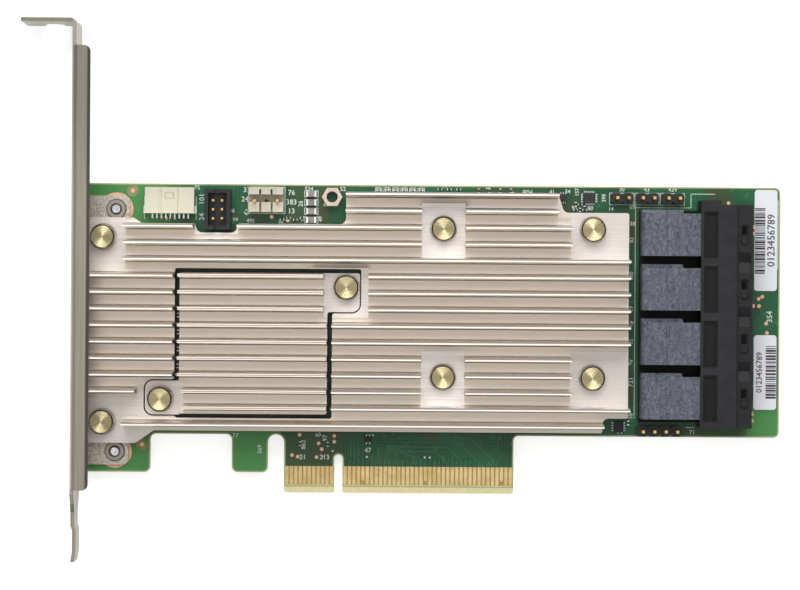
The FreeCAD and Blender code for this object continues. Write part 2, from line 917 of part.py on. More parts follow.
def outer_heat_sink():
    body = new_body("outer_heat_sink")
    edge = new_sketch(body, "XY", "outer_sink_outline", S.sink_gap)
    corner, bend = S.sink_corner, S.sink_bend
    bay_west_low = header_bay_west + S.header_bay_slope
    bay_east_low = header_bay_east - S.header_bay_slope
    outline(
        edge,
        [
            (S.sink_west, S.lobe_south, corner),
            (S.lobe_east, S.lobe_south, bend),
            (S.lobe_east + S.lobe_slope, S.sink_south, bend),
            (S.step_east, S.sink_south, corner),
            (S.step_east, S.step_south, bend),
            (S.sink_east, S.step_south, corner),
            (S.sink_east, east_north, corner),
            (S.crown_east + S.crown_slope, east_north, bend),
            (S.crown_east, crown_north, corner),
            (S.crown_west, crown_north, corner),
            (S.crown_west, sink_north, bend),
            (header_bay_east, sink_north, corner),
            (bay_east_low, header_bay_floor, S.header_bay_corner),
            (bay_west_low, header_bay_floor, S.header_bay_corner),
            (header_bay_west, sink_north, corner),
            (S.shoulder_east + S.shoulder_slope, sink_north, corner),
            (S.shoulder_east, shoulder_north, corner),
            (S.sink_west, shoulder_north, corner),
        ],
    )
    pad(body, edge, fin_top - S.sink_gap)
    window = new_sketch(body, "XY", "sink_window")
    small, ear = S.sink_corner, S.ear_corner + S.ear_gap
    outline(
        window,
        [
            (S.window_west + small, S.window_south),
            (S.window_east, S.window_south, small),
            (S.window_east, S.north_ear_south - S.ear_gap, small),
            (S.north_ear_east + S.ear_gap, S.north_ear_south - S.ear_gap, ear),
            (S.north_ear_east + S.ear_gap, S.window_north, small),
            (S.window_west, S.window_north, small),
            (S.window_west, S.south_ear_north + S.ear_gap, small),
            (S.south_ear_west - S.ear_gap, S.south_ear_north + S.ear_gap, ear),
            (S.south_ear_west - S.ear_gap, S.south_ear_south - S.ear_gap, ear),
            (S.window_west, S.south_ear_south - S.ear_gap),
        ],
    )
    pocket(body, window)
    cut_fins(body, "outer_sink", 0, FINS + 1)

    past = THROUGH
    half_pitch = S.fin_pitch / 2
    east_flat = S.pin_east - S.flat_reach
    west_flat_south = pin_west_upper - S.west_flat_drop
    bay_flat_south = gap_above(header_bay_floor - half_pitch)
    lobe_flat_east = S.lobe_east + S.lobe_slope
    lobe_flat_north = fin_row(0) - S.fin_root_width / 2
    mill_flat(
        body,
        "corner_flats",
        [
            (S.sink_west - past, S.west_flat_east, west_flat_south, shoulder_north + past),
            (header_bay_west, header_bay_east, bay_flat_south, sink_north + past),
            (east_flat, S.sink_east + past, fin_below(pin_upper - S.flat_reach), east_north + past),
            (S.sink_west - past, S.south_flat_east, S.lobe_south - past, S.south_flat_north),
            (S.sink_west - past, lobe_flat_east, S.lobe_south - past * 2, lobe_flat_north),
        ],
    )
    south_stub_west = S.south_ear_west - half_pitch
    south_stub_south = S.south_ear_south - S.ear_gap
    mill_flat(
        body,
        "pin_flats",
        [
            flat_around(S.pin_middle, pin_upper),
            flat_around(S.pin_middle, S.pin_lower),
            (east_flat, S.sink_east + past, *flat_around(S.pin_east, S.pin_lower)[2:]),
            (S.window_east - past, S.ear_flat_east, S.ear_flat_south, S.window_north + S.ear_gap),
            (south_stub_west, S.window_west + past, south_stub_south, fin_row(2) + half_pitch),
        ],
    )
    lowest_row_north = fin_row(0) + half_pitch
    mill_flat(
        body,
        "edge_flats",
        [
            (S.crown_east, east_flat + S.flat_overlap, east_north - S.fin_root_width, crown_north + past),
            (S.south_flat_east - S.flat_overlap, S.window_west + past, lowest_row_north, S.south_flat_north),
        ],
    )
    drill_for_pins(body, "outer_sink", outer_pins)
    return body


def inner_heat_sink():
    body = new_body("inner_heat_sink")
    west, east = S.window_west + S.window_gap_x, S.window_east - S.window_gap_x
    south, north = S.window_south + S.window_gap_y, S.window_north - S.window_gap_y
    edge = new_sketch(body, "XY", "inner_sink_outline", S.sink_gap)
    small, ear = S.sink_corner, S.ear_corner
    outline(
        edge,
        [
            (S.south_ear_west, S.south_ear_south, ear),
            (west, S.south_ear_south),
            (west, south),
            (east, south, small),
            (east, S.north_ear_south, small),
            (S.north_ear_east, S.north_ear_south, ear),
            (S.north_ear_east, north, small),
            (west, north, small),
            (west, S.south_ear_north, small),
            (S.south_ear_west, S.south_ear_north, ear),
        ],
    )
    pad(body, edge, fin_top - S.sink_gap)
    cut_fins(body, "inner_sink", 1, INNER_FINS + 1)
    mill_flat(
        body,
        "ear_flats",
        [
            (S.inner_flat_west, S.north_ear_east + THROUGH, S.ear_flat_south, north + THROUGH),
            (S.south_ear_west - THROUGH, S.inner_flat_east, S.south_ear_south - THROUGH, S.inner_flat_north),
        ],
    )
    drill_for_pins(body, "inner_sink", inner_pins)
    return body


# ---------------------------------------------------------------- push pins


def push_pins():
    """A turned pin with a flat head and a slotted barb that snaps behind the board."""
    head_low = base_top + S.head_lift - S.head_thickness
    head_top = base_top + S.head_lift
    barb_tip = board_back - S.barb_length
    head, shank = S.head_diameter / 2, S.shank_diameter / 2
    body = new_body("push_pin")
    profile = new_sketch(body, "XZ", "pin_profile")
    outline(
        profile,
        [
            (0, barb_tip),
            (S.barb_tip_diameter / 2, barb_tip),
            (S.barb_diameter / 2, board_back - S.barb_length * 0.2),
            (shank, board_back - S.barb_length * 0.1),
            (shank, head_low),
            (head, head_low),
            (head, head_top - S.head_chamfer),
            (head - S.head_chamfer, head_top),
            (0, head_top),
        ],
    )
    turning = body.newObject("PartDesign::Revolution", "pin_turning")
    turning.Profile = profile
    turning.ReferenceAxis = (profile, ["V_Axis"])
    turning.Angle = 360
    slot = new_sketch(body, "XZ", "barb_slot")
    half = S.barb_slot / 2
    rectangle(slot, -half, half, barb_tip - THROUGH, barb_tip + S.barb_slot_depth)
    pocket(body, slot)
    outer = copies("outer_push_pins", body, [(x, y, 0) for x, y in outer_pins])
    inner = copies("inner_push_pins", body, [(x, y, 0) for x, y in inner_pins])
    return [outer, inner]


def pin_springs():
    """Pressed coils between each spring bore and the head above it."""
    seat = milled_floor - S.spring_bore_depth
    under_head = base_top + S.head_lift - S.head_thickness
    body = new_body("pin_spring")
    ring = new_sketch(body, "XY", "spring_ring")
    circle(ring, 0, 0, S.spring_diameter)
    circle(ring, 0, 0, S.spring_diameter - S.spring_wire * 2)
    pad(body, ring, under_head - seat)
    outer = copies("outer_pin_springs", body, [(x, y, seat) for x, y in outer_pins])
    inner = copies("inner_pin_springs", body, [(x, y, seat) for x, y in inner_pins])
    return [outer, inner]


# ---------------------------------------------------------------- chips under the sinks


def centred(x, y, length, width):
    return (size(x) - size(length) / 2, size(y) - size(width) / 2)


def plate(label, x, y, length, width, low, thickness):
    """A flat rectangular piece centred on x, y with its lower face at low."""
    west, south = centred(x, y, length, width)
    solid = block(label, length, width, thickness)
    place(solid, west, south, low)
    solid.Label = label
    return solid


def hidden_chips():
    x, y = S.controller_x, S.controller_y
    die_low = S.substrate_thickness
    pad_low = die_low + S.die_thickness
    nodes = [
        plate("controller_substrate", x, y, S.controller_side, S.controller_side, FACE, die_low),
        plate("controller_die", x, y, S.die_side, S.die_side, die_low, S.die_thickness),
        plate("controller_thermal_pad", x, y, S.die_side, S.die_side, pad_low, S.sink_gap - pad_low),
    ]
    memory_spots = [
        centred(S.memory_first_x + S.memory_pitch * number, S.memory_y, S.memory_width, S.memory_length)
        for number in range(MEMORY_CHIPS)
    ]
    chip = block("memory_chip", S.memory_width, S.memory_length, S.memory_thickness)
    cushion = block("memory_pad", S.memory_width, S.memory_length, S.sink_gap - S.memory_thickness)
    back_level = board_back - S.memory_thickness
    nodes += [
        copies("memory_chips", chip, [(u, v, FACE) for u, v in memory_spots]),
        copies("memory_thermal_pads", cushion, [(u, v, S.memory_thickness) for u, v in memory_spots]),
        copies("back_memory_chips", chip, [(u, v, back_level) for u, v in memory_spots]),
    ]
    rows = [S.inductor_first_y + S.inductor_pitch * number for number in range(INDUCTORS)]
    choke = block("inductor", S.inductor_side, S.inductor_side, S.inductor_thickness)
    switch = block("regulator", S.regulator_width, S.regulator_length, S.regulator_thickness)
    choke_spots = [centred(S.inductor_x, row, S.inductor_side, S.inductor_side) for row in rows]
    switch_spots = [centred(S.regulator_x, row, S.regulator_width, S.regulator_length) for row in rows]
    nodes += [
        copies("power_inductors", choke, [(u, v, FACE) for u, v in choke_spots]),
        copies("power_regulators", switch, [(u, v, FACE) for u, v in switch_spots]),
        plate("flash_chip", S.flash_x, S.flash_y, S.flash_length, S.flash_width, FACE, S.flash_thickness),
    ]
    return nodes


# ---------------------------------------------------------------- bracket


def mounting_bracket():
    body = new_body("mounting_bracket")
    outer = S.bracket_outer
    inner = outer + S.sheet
    front = S.bracket_rear + S.bracket_width
    bend, tight = S.bend_inner + S.sheet, S.bend_inner
    tab_end = outer - S.tab_length
    jog_low = S.tongue_jog_top - S.tongue_jog_drop
    tip_high = S.tongue_bottom + S.tongue_tip
    jog = S.tongue_jog

    side = new_sketch(body, "XY", "bracket_side", S.bracket_rear)
    outline(
        side,
        [
            (tab_end, S.tab_top),
            (tab_end, S.tab_top - S.sheet),
            (outer, S.tab_top - S.sheet, tight),
            (outer, S.tongue_jog_top),
            (outer + jog, jog_low),
            (outer + jog, tip_high),
            (outer, S.tongue_bottom),
            (inner, S.tongue_bottom),
            (inner + jog, tip_high),
            (inner + jog, jog_low),
            (inner, S.tongue_jog_top),
            (inner, S.tab_top, bend),
        ],
    )
    pad(body, side, S.bracket_width - bend)

    narrow = new_sketch(body, "YZ", "tongue_taper")
    spare = (S.bracket_width - bend - S.tongue_width) / 2
    neck = S.tongue_shoulder - S.tongue_slope
    for edge, inward in ((S.bracket_rear, 1), (front - bend, -1)):
        outline(
            narrow,
            [
                (S.tongue_shoulder, edge),
                (neck, edge + spare * inward),
                (S.tongue_bottom - THROUGH, edge + spare * inward),
                (S.tongue_bottom - THROUGH, edge),
            ],
        )
    pocket(body, narrow)

    notch = new_sketch(body, "XZ", "screw_notch")
    notch_top = S.bracket_rear + S.notch_depth
    round_slot(notch, outer - S.notch_centre, S.notch_width, S.bracket_rear - THROUGH, notch_top)
    # the tab is the only sheet that the notch meets on its way along Y
    pocket(body, notch)

    reach = outer + S.flange_reach
    inside = front - S.sheet
    fold_x, fold_z = outer + bend, front - bend
    flange = new_sketch(body, "XZ", "flange_fold", -S.flange_top)
    fold_outline(
        flange,
        [
            (outer, fold_z),
            (fold_x, front, fold_z),
            (reach, front),
            (reach, inside),
            (fold_x, inside),
            (inner, fold_z, fold_z),
        ],
    )
    pad(body, flange, S.flange_top - S.flange_bottom)
    fillet(
        body,
        "flange_corners",
        S.flange_corner,
        lambda x, y, z: near(x, reach) and near(y, S.flange_bottom),
        lambda x, y, z: near(x, reach) and near(y, S.flange_top),
    )

    feet = new_sketch(body, "XY", "board_feet")
    for low in (S.lower_foot_bottom, S.upper_foot_top - S.foot_width):
        high = low + S.foot_width
        corner = S.foot_corner
        outline(feet, [(inner, low), (S.foot_east, low, corner), (S.foot_east, high, corner), (inner, high)])
    pad(body, feet, S.sheet)
    fillet(body, "foot_bends", tight, lambda x, y, z: near(x, inner) and near(z, S.sheet))
    rings = new_sketch(body, "XY", "foot_collars")
    for x, y in bracket_screws:
        circle(rings, x, y, S.collar_diameter)
    pad(body, rings, S.collar_top)
    threads = new_sketch(body, "XY", "foot_threads", S.collar_top)
    for x, y in bracket_screws:
        circle(threads, x, y, S.screw_diameter + S.thread_clearance * 2)
    pocket(body, threads, S.collar_top)

    vents = new_sketch(body, "YZ", "vent_cells", outer)
    for column in (-1, 0, 1):
        shift = S.vent_pitch / 2 * (column % 2)
        middle = S.vent_mid_z + S.vent_pitch * column * math.cos(math.radians(30))
        hexagon(vents, S.vent_first_y + shift, middle, S.vent_across)
    cells = pocket(body, vents, S.sheet, reverse=True)
    row_of(body, cells, "Y", S.vent_pitch, VENT_ROWS)
    return body


def bracket_screw_pair():
    body = new_body("bracket_screw")
    head_low = board_back - S.screw_head_thickness
    head, shaft = S.screw_head_diameter / 2, S.screw_diameter / 2
    profile = new_sketch(body, "XZ", "screw_profile")
    outline(
        profile,
        [
            (0, head_low),
            (head - S.screw_head_thickness / 2, head_low),
            (head, head_low + S.screw_head_thickness / 2),
            (head, board_back),
            (shaft, board_back),
            (shaft, S.screw_reach - shaft * 0.3),
            (shaft * 0.7, S.screw_reach),
            (0, S.screw_reach),
        ],
    )
    turning = body.newObject("PartDesign::Revolution", "screw_turning")
    turning.Profile = profile
    turning.ReferenceAxis = (profile, ["V_Axis"])
    turning.Angle = 360
    doc.recompute()
    cross = new_sketch(body, "XY", "screw_recess", head_low)
    arm, width = head * 0.6, S.screw_cross / 2
    quarter = [(arm, -width), (arm, width), (width, width)]
    corners = []
    for turn in range(4):
        for x, y in quarter:
            u, v = [(x, y), (-y, x), (-x, -y), (y, -x)][turn]
            corners.append((u, v))
    outline(cross, corners)
    pocket(body, cross, S.screw_head_thickness * 0.6, reverse=True)
    return copies("bracket_screws", body, [(x, y, 0) for x, y in bracket_screws])


# ---------------------------------------------------------------- drive connector


def drive_connector():
    shell = new_body("port_shell")
    base = new_sketch(shell, "XY", "shell_outline")
    rectangle(base, shell_west, shell_east, S.shell_south, S.shell_north)
    pad(shell, base, S.shell_height)
    tray = new_sketch(shell, "XY", "shell_tray")
    edge_gap = S.housing_ledge
    tray_south = port_middles[0] - S.housing_width / 2 - edge_gap
    tray_north = port_middles[-1] + S.housing_width / 2 + edge_gap
    rectangle(tray, tray_west, shell_west, tray_south, tray_north)
    pad(shell, tray, S.shell_floor)
    end_step = new_sketch(shell, "XY", "shell_end_step")
    end_low = S.shell_north - S.shell_end_step
    step_west = shell_east - S.shell_end_step_length
    rectangle(end_step, step_west, shell_east + THROUGH, end_low, S.shell_north + THROUGH)
    pocket(shell, end_step)
    step = new_sketch(shell, "XY", "latch_band", S.shell_height)
    band_west = shell_east - S.latch_step
    rectangle(step, band_west, shell_east + THROUGH, S.shell_south - THROUGH, S.shell_north + THROUGH)
    pocket(shell, step, S.latch_drop)
    shell_windows(shell)
    latch_recesses(shell, band_west)
    mouths = new_sketch(shell, "YZ", "port_mouths", shell_east)
    mouth_low = S.shell_floor
    mouth_high = mouth_low + S.port_height
    for middle in port_middles:
        half = S.port_width / 2
        rectangle(mouths, middle - half, middle + half, mouth_low, mouth_high)
    pocket(shell, mouths, S.shell_length - S.port_back_wall)
    nodes = [shell]

    core_west = shell_west + S.port_back_wall
    core_low = mouth_low + (S.port_height - S.tongue_block_height) / 2
    mid_height = mouth_low + S.port_height / 2
    slot_lows = [mid_height + S.slot_spacing * side / 2 - S.slot_height / 2 for side in (-1, 1)]
    blade_spots = []
    for number, middle in enumerate(port_middles, start=1):
        core = new_body(f"port_core_{number}")
        front = new_sketch(core, "YZ", f"core_{number}_front", core_west)
        half = S.tongue_block_width / 2
        rectangle(front, middle - half, middle + half, core_low, core_low + S.tongue_block_height)
        pad(core, front, S.tongue_block_length)
        slots = new_sketch(core, "YZ", f"core_{number}_slots", core_west + S.tongue_block_length)
        for low in slot_lows:
            half = S.slot_width / 2
            rectangle(slots, middle - half, middle + half, low, low + S.slot_height)
        doc.recompute()
        pocket(core, slots, S.slot_depth)
        nodes.append(core)
        blade_west = core_west + S.tongue_block_length - S.slot_depth
        for low in slot_lows:
            for blade in range(BLADES):
                south = middle + S.blade_pitch * (blade - (BLADES - 1) / 2) - S.blade_width / 2
                blade_spots.append((blade_west, south, low))
        nodes.append(rear_housing(number, middle))
    blade = block("port_blade", S.blade_length, S.blade_width, S.blade_thickness)
    nodes.append(copies("port_contacts", blade, blade_spots))
    return nodes


def shell_windows(shell):
    """A framed window over each port: a shallow step round a deeper pane."""
    west, half = shell_west + S.window_recess_inset, S.window_recess_length / 2
    east, frame = west + S.window_recess_width, S.window_frame
    steps = new_sketch(shell, "XY", "window_steps", S.shell_height)
    panes = new_sketch(shell, "XY", "window_panes", S.shell_height)
    for middle in port_middles:
        south, north = middle - half, middle + half
        rectangle(steps, west, east, south, north)
        rectangle(panes, west + frame, east - frame, south + frame, north - frame)
    pocket(shell, steps, S.window_recess_depth)
    pocket(shell, panes, S.window_pane_depth)


def latch_recesses(shell, band_west):
    """Oval recesses with a hole and a boss, and wedges between them, on the lower band."""
    band_top = S.shell_height - S.latch_drop
    latch_west = band_west + (S.latch_step - S.latch_width) / 2
    recess_east = latch_west + S.latch_width
    recesses = new_sketch(shell, "XY", "latch_recesses", band_top)
    holes = new_sketch(shell, "XY", "latch_holes", band_top)
    bosses = new_sketch(shell, "XY", "latch_bosses", band_top - S.latch_depth)
    for middle in port_middles:
        half, round_end = S.latch_length / 2, S.latch_width * 0.4
        rectangle(recesses, latch_west, recess_east, middle - half, middle + half, round_end)
        north = middle + half - S.latch_boss_height
        hole_west, hole_east = latch_west + round_end / 2, recess_east - round_end / 2
        rectangle(holes, hole_west, hole_east, north - S.latch_hole_length, north)
        circle(bosses, latch_west + S.latch_width / 2, middle - half / 2, S.latch_boss_diameter)
    pocket(shell, recesses, S.latch_depth)
    pocket(shell, holes, S.latch_hole_depth)
    pad(shell, bosses, S.latch_boss_height)
    wedges = new_sketch(shell, "YZ", "latch_wedges", band_west + (S.latch_step - S.wedge_width) / 2)
    half = S.wedge_length / 2
    for middle in port_middles[:-1]:
        between = middle + S.port_pitch / 2
        wedge_bottom = band_top - S.wedge_depth
        outline(wedges, [(between - half, band_top), (between, wedge_bottom), (between + half, band_top)])
    pocket(shell, wedges, S.wedge_width, reverse=True)


def rear_housing(number, middle):
    """The moulded block behind a port that carries its contact wafers."""
    body = new_body(f"port_housing_{number}")
    half = S.housing_width / 2
    south, north = middle - half, middle + half
    ledge = S.housing_top - S.housing_ledge_drop
    profile = new_sketch(body, "YZ", f"housing_{number}_profile", tray_west + S.housing_seam)
    outline(
        profile,
        [
            (south, S.shell_floor),
            (north + S.housing_ledge, S.shell_floor),
            (north + S.housing_ledge, ledge),
            (north, S.housing_top),
            (south, S.housing_top),
        ],
    )
    pad(body, profile, shell_west - tray_west - S.housing_seam)
    west = tray_west + S.housing_seam
    chamfer(
        body,
        f"housing_{number}_edge",
        S.housing_chamfer,
        lambda x, y, z: near(x, west) and near(z, S.housing_top),
    )
    relief = new_sketch(body, "XY", f"housing_{number}_relief", S.housing_top)
    relief_west = shell_west - S.housing_ledge_end
    rectangle(relief, relief_west, shell_west + THROUGH, north, north + S.housing_ledge + THROUGH)
    pocket(body, relief)
    seam = new_sketch(body, "XZ", f"housing_{number}_seam")
    seam_west = tray_west + S.housing_seam_x
    rectangle(seam, seam_west, seam_west + S.housing_seam, S.housing_top - S.housing_seam, S.housing_top + 1)
    pocket(body, seam)
    return body


# ---------------------------------------------------------------- headers


def wire_connector():
    """Side-entry wire socket: hollow towards the top edge, tails on the other side."""
    body = new_body("wire_connector")
    west, south = S.wire_socket_west, wire_socket_south
    east, north = west + S.wire_socket_length, south + S.wire_socket_depth
    base = new_sketch(body, "XY", "wire_socket_outline")
    rectangle(base, west, east, south, north)
    pad(body, base, S.wire_socket_height)
    wall = S.wire_socket_wall
    mouth = new_sketch(body, "XZ", "wire_socket_mouth", -north)
    rectangle(mouth, west + wall, east - wall, S.wire_cavity_floor, S.wire_socket_height - wall)
    pocket(body, mouth, S.wire_cavity_depth, reverse=True)
    relief = new_sketch(body, "XY", "wire_socket_lines", S.wire_socket_height)
    for share in (0.28, 0.68):
        line = west + S.wire_socket_length * share
        rectangle(relief, line, line + 0.15, south - 1, north - wall)
    notch_west = west + S.wire_socket_length * 0.42
    notch_north = north - S.wire_socket_depth * 0.2
    rectangle(relief, notch_west, notch_west + 1.6, notch_north - 1.2, notch_north)
    pocket(body, relief, 0.15)

    middle = west + S.wire_socket_length / 2
    columns = [middle + S.wire_pin_pitch * (number - (WIRE_PINS - 1) / 2) for number in range(WIRE_PINS)]
    side = S.wire_pin_side
    pin_low = (S.wire_cavity_floor + S.wire_socket_height - wall) / 2 - side / 2
    prong = block("wire_pin", side, S.wire_pin_length, side)
    tail = block("wire_tail", side, S.wire_tail_length, side)
    back_wall = north - S.wire_cavity_depth
    pins = copies("wire_connector_pins", prong, [(x - side / 2, back_wall, pin_low) for x in columns])
    tail_spots = [(x - side / 2, south - S.wire_tail_length, FACE) for x in columns]
    tails = copies("wire_connector_tails", tail, tail_spots)
    clip = block("wire_clip", S.wire_clip_width, S.wire_clip_length, S.wire_clip_height)
    clip_wests = (west - S.wire_clip_width, east)
    clips = copies("wire_connector_clips", clip, [(x, south, FACE) for x in clip_wests])
    return [body, pins, tails, clips]


def shrouded_header():
    body = new_body("shrouded_header")
    west, south = S.shroud_west, shroud_south
    east, north = west + S.shroud_length, south + S.shroud_depth
    wall = S.shroud_wall
    base = new_sketch(body, "XY", "shroud_outline")
    rectangle(base, west, east, south, north)
    pad(body, base, S.shroud_height)
    well = new_sketch(body, "XY", "shroud_well", S.shroud_height)
    rectangle(well, west + wall, east - wall, south + wall, north - wall)
    pocket(body, well, S.shroud_height - S.shroud_floor)
    keyway = new_sketch(body, "XY", "shroud_keyways", S.shroud_height)
    half = S.shroud_key_width / 2
    rectangle(keyway, shroud_middle - half, shroud_middle + half, south - 1, south + wall + 1)
    rectangle(keyway, shroud_middle - half, shroud_middle + half, north - wall - 1, north + 1)
    pocket(body, keyway, S.shroud_height - S.shroud_floor - 1)
    drill_body(body, "shroud_pin_holes", shroud_pins, S.shroud_pin_side)
    pins = square_pins("shrouded_header_pins", shroud_pins, S.shroud_pin_side, S.shroud_pin_top)
    return [body, pins]


def drill_body(body, name, spots, side):
    """Square holes that the pins are pressed into."""
    holes = new_sketch(body, "XY", name)
    half = side / 2
    for x, y in spots:
        rectangle(holes, x - half, x + half, y - half, y + half)
    pocket(body, holes)


def square_pins(label, spots, side, top):
    low = board_back - S.header_pin_tail
    pin = block(f"{label}_pin", side, side, size(top) - low)
    return copies(label, pin, [(x - side / 2, y - side / 2, low) for x, y in spots])


def key_header():
    """Friction-lock header with a tall back wall and three front teeth."""
    body = new_body("key_header")
    west, south = S.key_header_west, key_header_south
    east, north = west + S.key_header_length, south + S.key_header_depth
    side = new_sketch(body, "YZ", "key_header_side", west)
    outline(
        side,
        [
            (south, FACE),
            (north, FACE),
            (north, S.key_header_height),
            (north - S.key_header_back, S.key_header_height),
            (north - S.key_header_back, S.key_header_base),
            (south + S.key_header_teeth, S.key_header_base),
            (south + S.key_header_teeth, S.key_header_height * 0.8),
            (south, S.key_header_height * 0.8),
        ],
    )
    pad(body, side, S.key_header_length)
    slits = new_sketch(body, "XY", "key_header_slits", S.key_header_height)
    for share in (-0.5, 0.5):
        line = key_header_middle + S.header_pitch * share
        half = S.key_header_slit / 2
        rectangle(slits, line - half, line + half, south - 1, north - S.key_header_back * 0.25)
    pocket(body, slits, S.key_header_height - S.key_header_base)
    drill_body(body, "key_header_holes", key_pins, S.header_pin_side)
    pins = square_pins("key_header_pins", key_pins, S.header_pin_side, S.key_header_height)
    return [body, pins]


def pin_headers():
    """Three two-pin headers and one four-pin header with chamfered plastic cells."""
    strip = new_body("led_header")
    header_strip(strip, 2)
    strip_holes = [(S.header_pitch * side / 2, size(0)) for side in (-1, 1)]
    drill_body(strip, "led_header_holes", strip_holes, S.header_pin_side)
    bodies = copies("led_headers", strip, [(x, led_header_y, 0) for x in led_middles])
    pins = square_pins("led_header_pins", led_pins, S.header_pin_side, S.header_pin_top)

    long_strip = new_body("test_header")
    header_strip(long_strip, TEST_PINS)
    spots = [(S.header_pitch * (number - (TEST_PINS - 1) / 2), size(0)) for number in range(TEST_PINS)]
    drill_body(long_strip, "test_header_holes", spots, S.header_pin_side)
    place(long_strip, S.test_header_first_x + S.header_pitch * (TEST_PINS - 1) / 2, S.test_header_y, 0)
    test = square_pins("test_header_pins", test_pins, S.header_pin_side, S.header_pin_top)
    return [bodies, pins, long_strip, test]


def header_strip(body, cells):
    """The plastic strip of a pin header: one eight-sided cell for each pin."""
    half, corner = S.header_body_width / 2, S.header_corner
    reach = S.header_pitch / 2
    south_side, north_side = [], []
    for cell in range(cells):
        middle = S.header_pitch * (cell - (cells - 1) / 2)
        west, east = middle - reach, middle + reach
        south_side += [(west, corner - half), (west + corner, -half), (east - corner, -half)]
        north_side += [(west, half - corner), (west + corner, half), (east - corner, half)]
    last = S.header_pitch * (cells / 2)
    corners = south_side + [(last, corner - half), (last, half - corner)] + north_side[::-1]
    sketch = new_sketch(body, "XY", f"{body.Name}_outline")
    outline(sketch, corners)
    pad(body, sketch, S.header_body_height)


# ---------------------------------------------------------------- small parts


def hex_standoff():
    body = new_body("hex_standoff")
    base = new_sketch(body, "XY", "standoff_outline")
    hexagon(base, 0, 0, S.standoff_across)
    circle(base, 0, 0, S.standoff_bore_diameter)
    pad(body, base, S.standoff_height)
    place(body, S.standoff_x, board_top_edge - S.standoff_margin, FACE)
    body.Placement.Rotation = FreeCAD.Rotation(FreeCAD.Vector(0, 0, 1), 30)
    return body


def chip_capacitors(label, spots, length, width, height, end, level=FACE):
    """Ceramic bodies in one node and their metal ends in another."""
    middle_part = block(f"{label}_middle", length - end * 2, width, height)
    cap_end = block(f"{label}_end", end, width, height)
    bodies, ends = [], []
    for x, y in spots:
        west, south = centred(x, y, length, width)
        bodies.append((west + end, south, level))
        ends += [(west, south, level), (west + length - end, south, level)]
    return [copies(f"{label}_bodies", middle_part, bodies), copies(f"{label}_ends", cap_end, ends)]


def small_parts():
    big_cap_top = board_top_edge - S.big_cap_margin
    edge_caps_y = board_top_edge - S.edge_caps_margin
    big_spots = [(S.big_cap_x, big_cap_top - S.big_cap_pitch * number) for number in range(BIG_CAPS)]
    edge_spots = [
        (S.edge_caps_first_x + S.edge_caps_pitch * number, edge_caps_y) for number in range(EDGE_CAPS)
    ]
    small = (S.small_cap_length, S.small_cap_width, S.small_cap_height, S.small_cap_end)
    large = (S.big_cap_length, S.big_cap_width, S.big_cap_height, S.big_cap_end)
    nodes = chip_capacitors("large_capacitor", big_spots, *large)
    nodes += chip_capacitors("edge_capacitor", edge_spots, *small)
    back_spots = [
        (
            S.back_cap_first_x + S.back_cap_columns_pitch * column,
            S.back_cap_first_y + S.back_cap_rows_pitch * line,
        )
        for column in range(BACK_CAP_COLUMNS)
        for line in range(BACK_CAP_ROWS)
    ]
    nodes += chip_capacitors("back_capacitor", back_spots, *small, level=board_back - S.small_cap_height)
    quad_y = board_top_edge - S.quad_chip_margin
    logic_y = board_top_edge - S.logic_chip_margin
    chips = [
        ("quad_chip", S.quad_chip_x, quad_y, S.quad_chip_length, S.quad_chip_width, S.quad_chip_height),
        ("logic_chip", S.logic_chip_x, logic_y, S.logic_chip_side, S.logic_chip_side, S.logic_chip_height),
        (
            "monitor_chip",
            S.monitor_chip_x,
            S.monitor_chip_y,
            S.monitor_chip_length,
            S.monitor_chip_width,
            S.monitor_chip_height,
        ),
        (
            "transistor",
            S.transistor_x,
            S.transistor_y,
            S.transistor_length,
            S.transistor_width,
            S.transistor_height,
        ),
    ]
    nodes += [plate(label, x, y, length, width, FACE, height) for label, x, y, length, width, height in chips]
    back_low = board_back - S.back_chip_height
    back_side = S.back_chip_side
    back_place = (S.back_chip_x, S.back_chip_y)
    nodes.append(plate("back_chip", *back_place, back_side, back_side, back_low, S.back_chip_height))
    return nodes


def barcode_label(name, south, length):
    body = new_body(name)
    sketch = new_sketch(body, "XY", f"{name}_outline")
    west = shell_east + S.label_gap
    rectangle(sketch, west, west + S.label_width, south, south + length, S.label_corner)
    pad(body, sketch, S.label_thickness)
    return body


def main():
    nodes = [circuit_board()]
    nodes += edge_contacts()
    nodes += [outer_heat_sink(), inner_heat_sink()]
    nodes += push_pins()
    nodes += pin_springs()
    nodes += hidden_chips()
    nodes += [mounting_bracket(), bracket_screw_pair()]
    nodes += drive_connector()
    nodes += wire_connector()
    nodes += shrouded_header()
    nodes += key_header()
    nodes += pin_headers()
    nodes.append(hex_standoff())
    nodes += small_parts()
    nodes.append(barcode_label("upper_label", S.upper_label_south, S.upper_label_length))
    nodes.append(barcode_label("lower_label", S.lower_label_south, S.lower_label_length))
    doc.recompute()

    for thing in doc.Objects:
        if "Invalid" in thing.State or "Error" in thing.State:
            raise RuntimeError(f"{thing.Name} failed: {thing.State}")
    for node in nodes:
        if node.Shape.isNull() or not node.Shape.Solids or not node.Shape.isValid():
            raise RuntimeError(f"{node.Label} has no valid solid")

    os.makedirs("parts", exist_ok=True)
    for node in nodes:
        node.Shape.exportStep(f"parts/{node.Label}.step")


main()
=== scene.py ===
"""The looks of a raid controller card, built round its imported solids.

Lengths are written in millimetres and turned to metres by at() and MM. The card lies
flat, component side up: +X from the bracket to the drive connectors, +Y from the edge
fingers to the top edge, the component face of the board at Z = 0.
"""

import math
import random
from collections import namedtuple

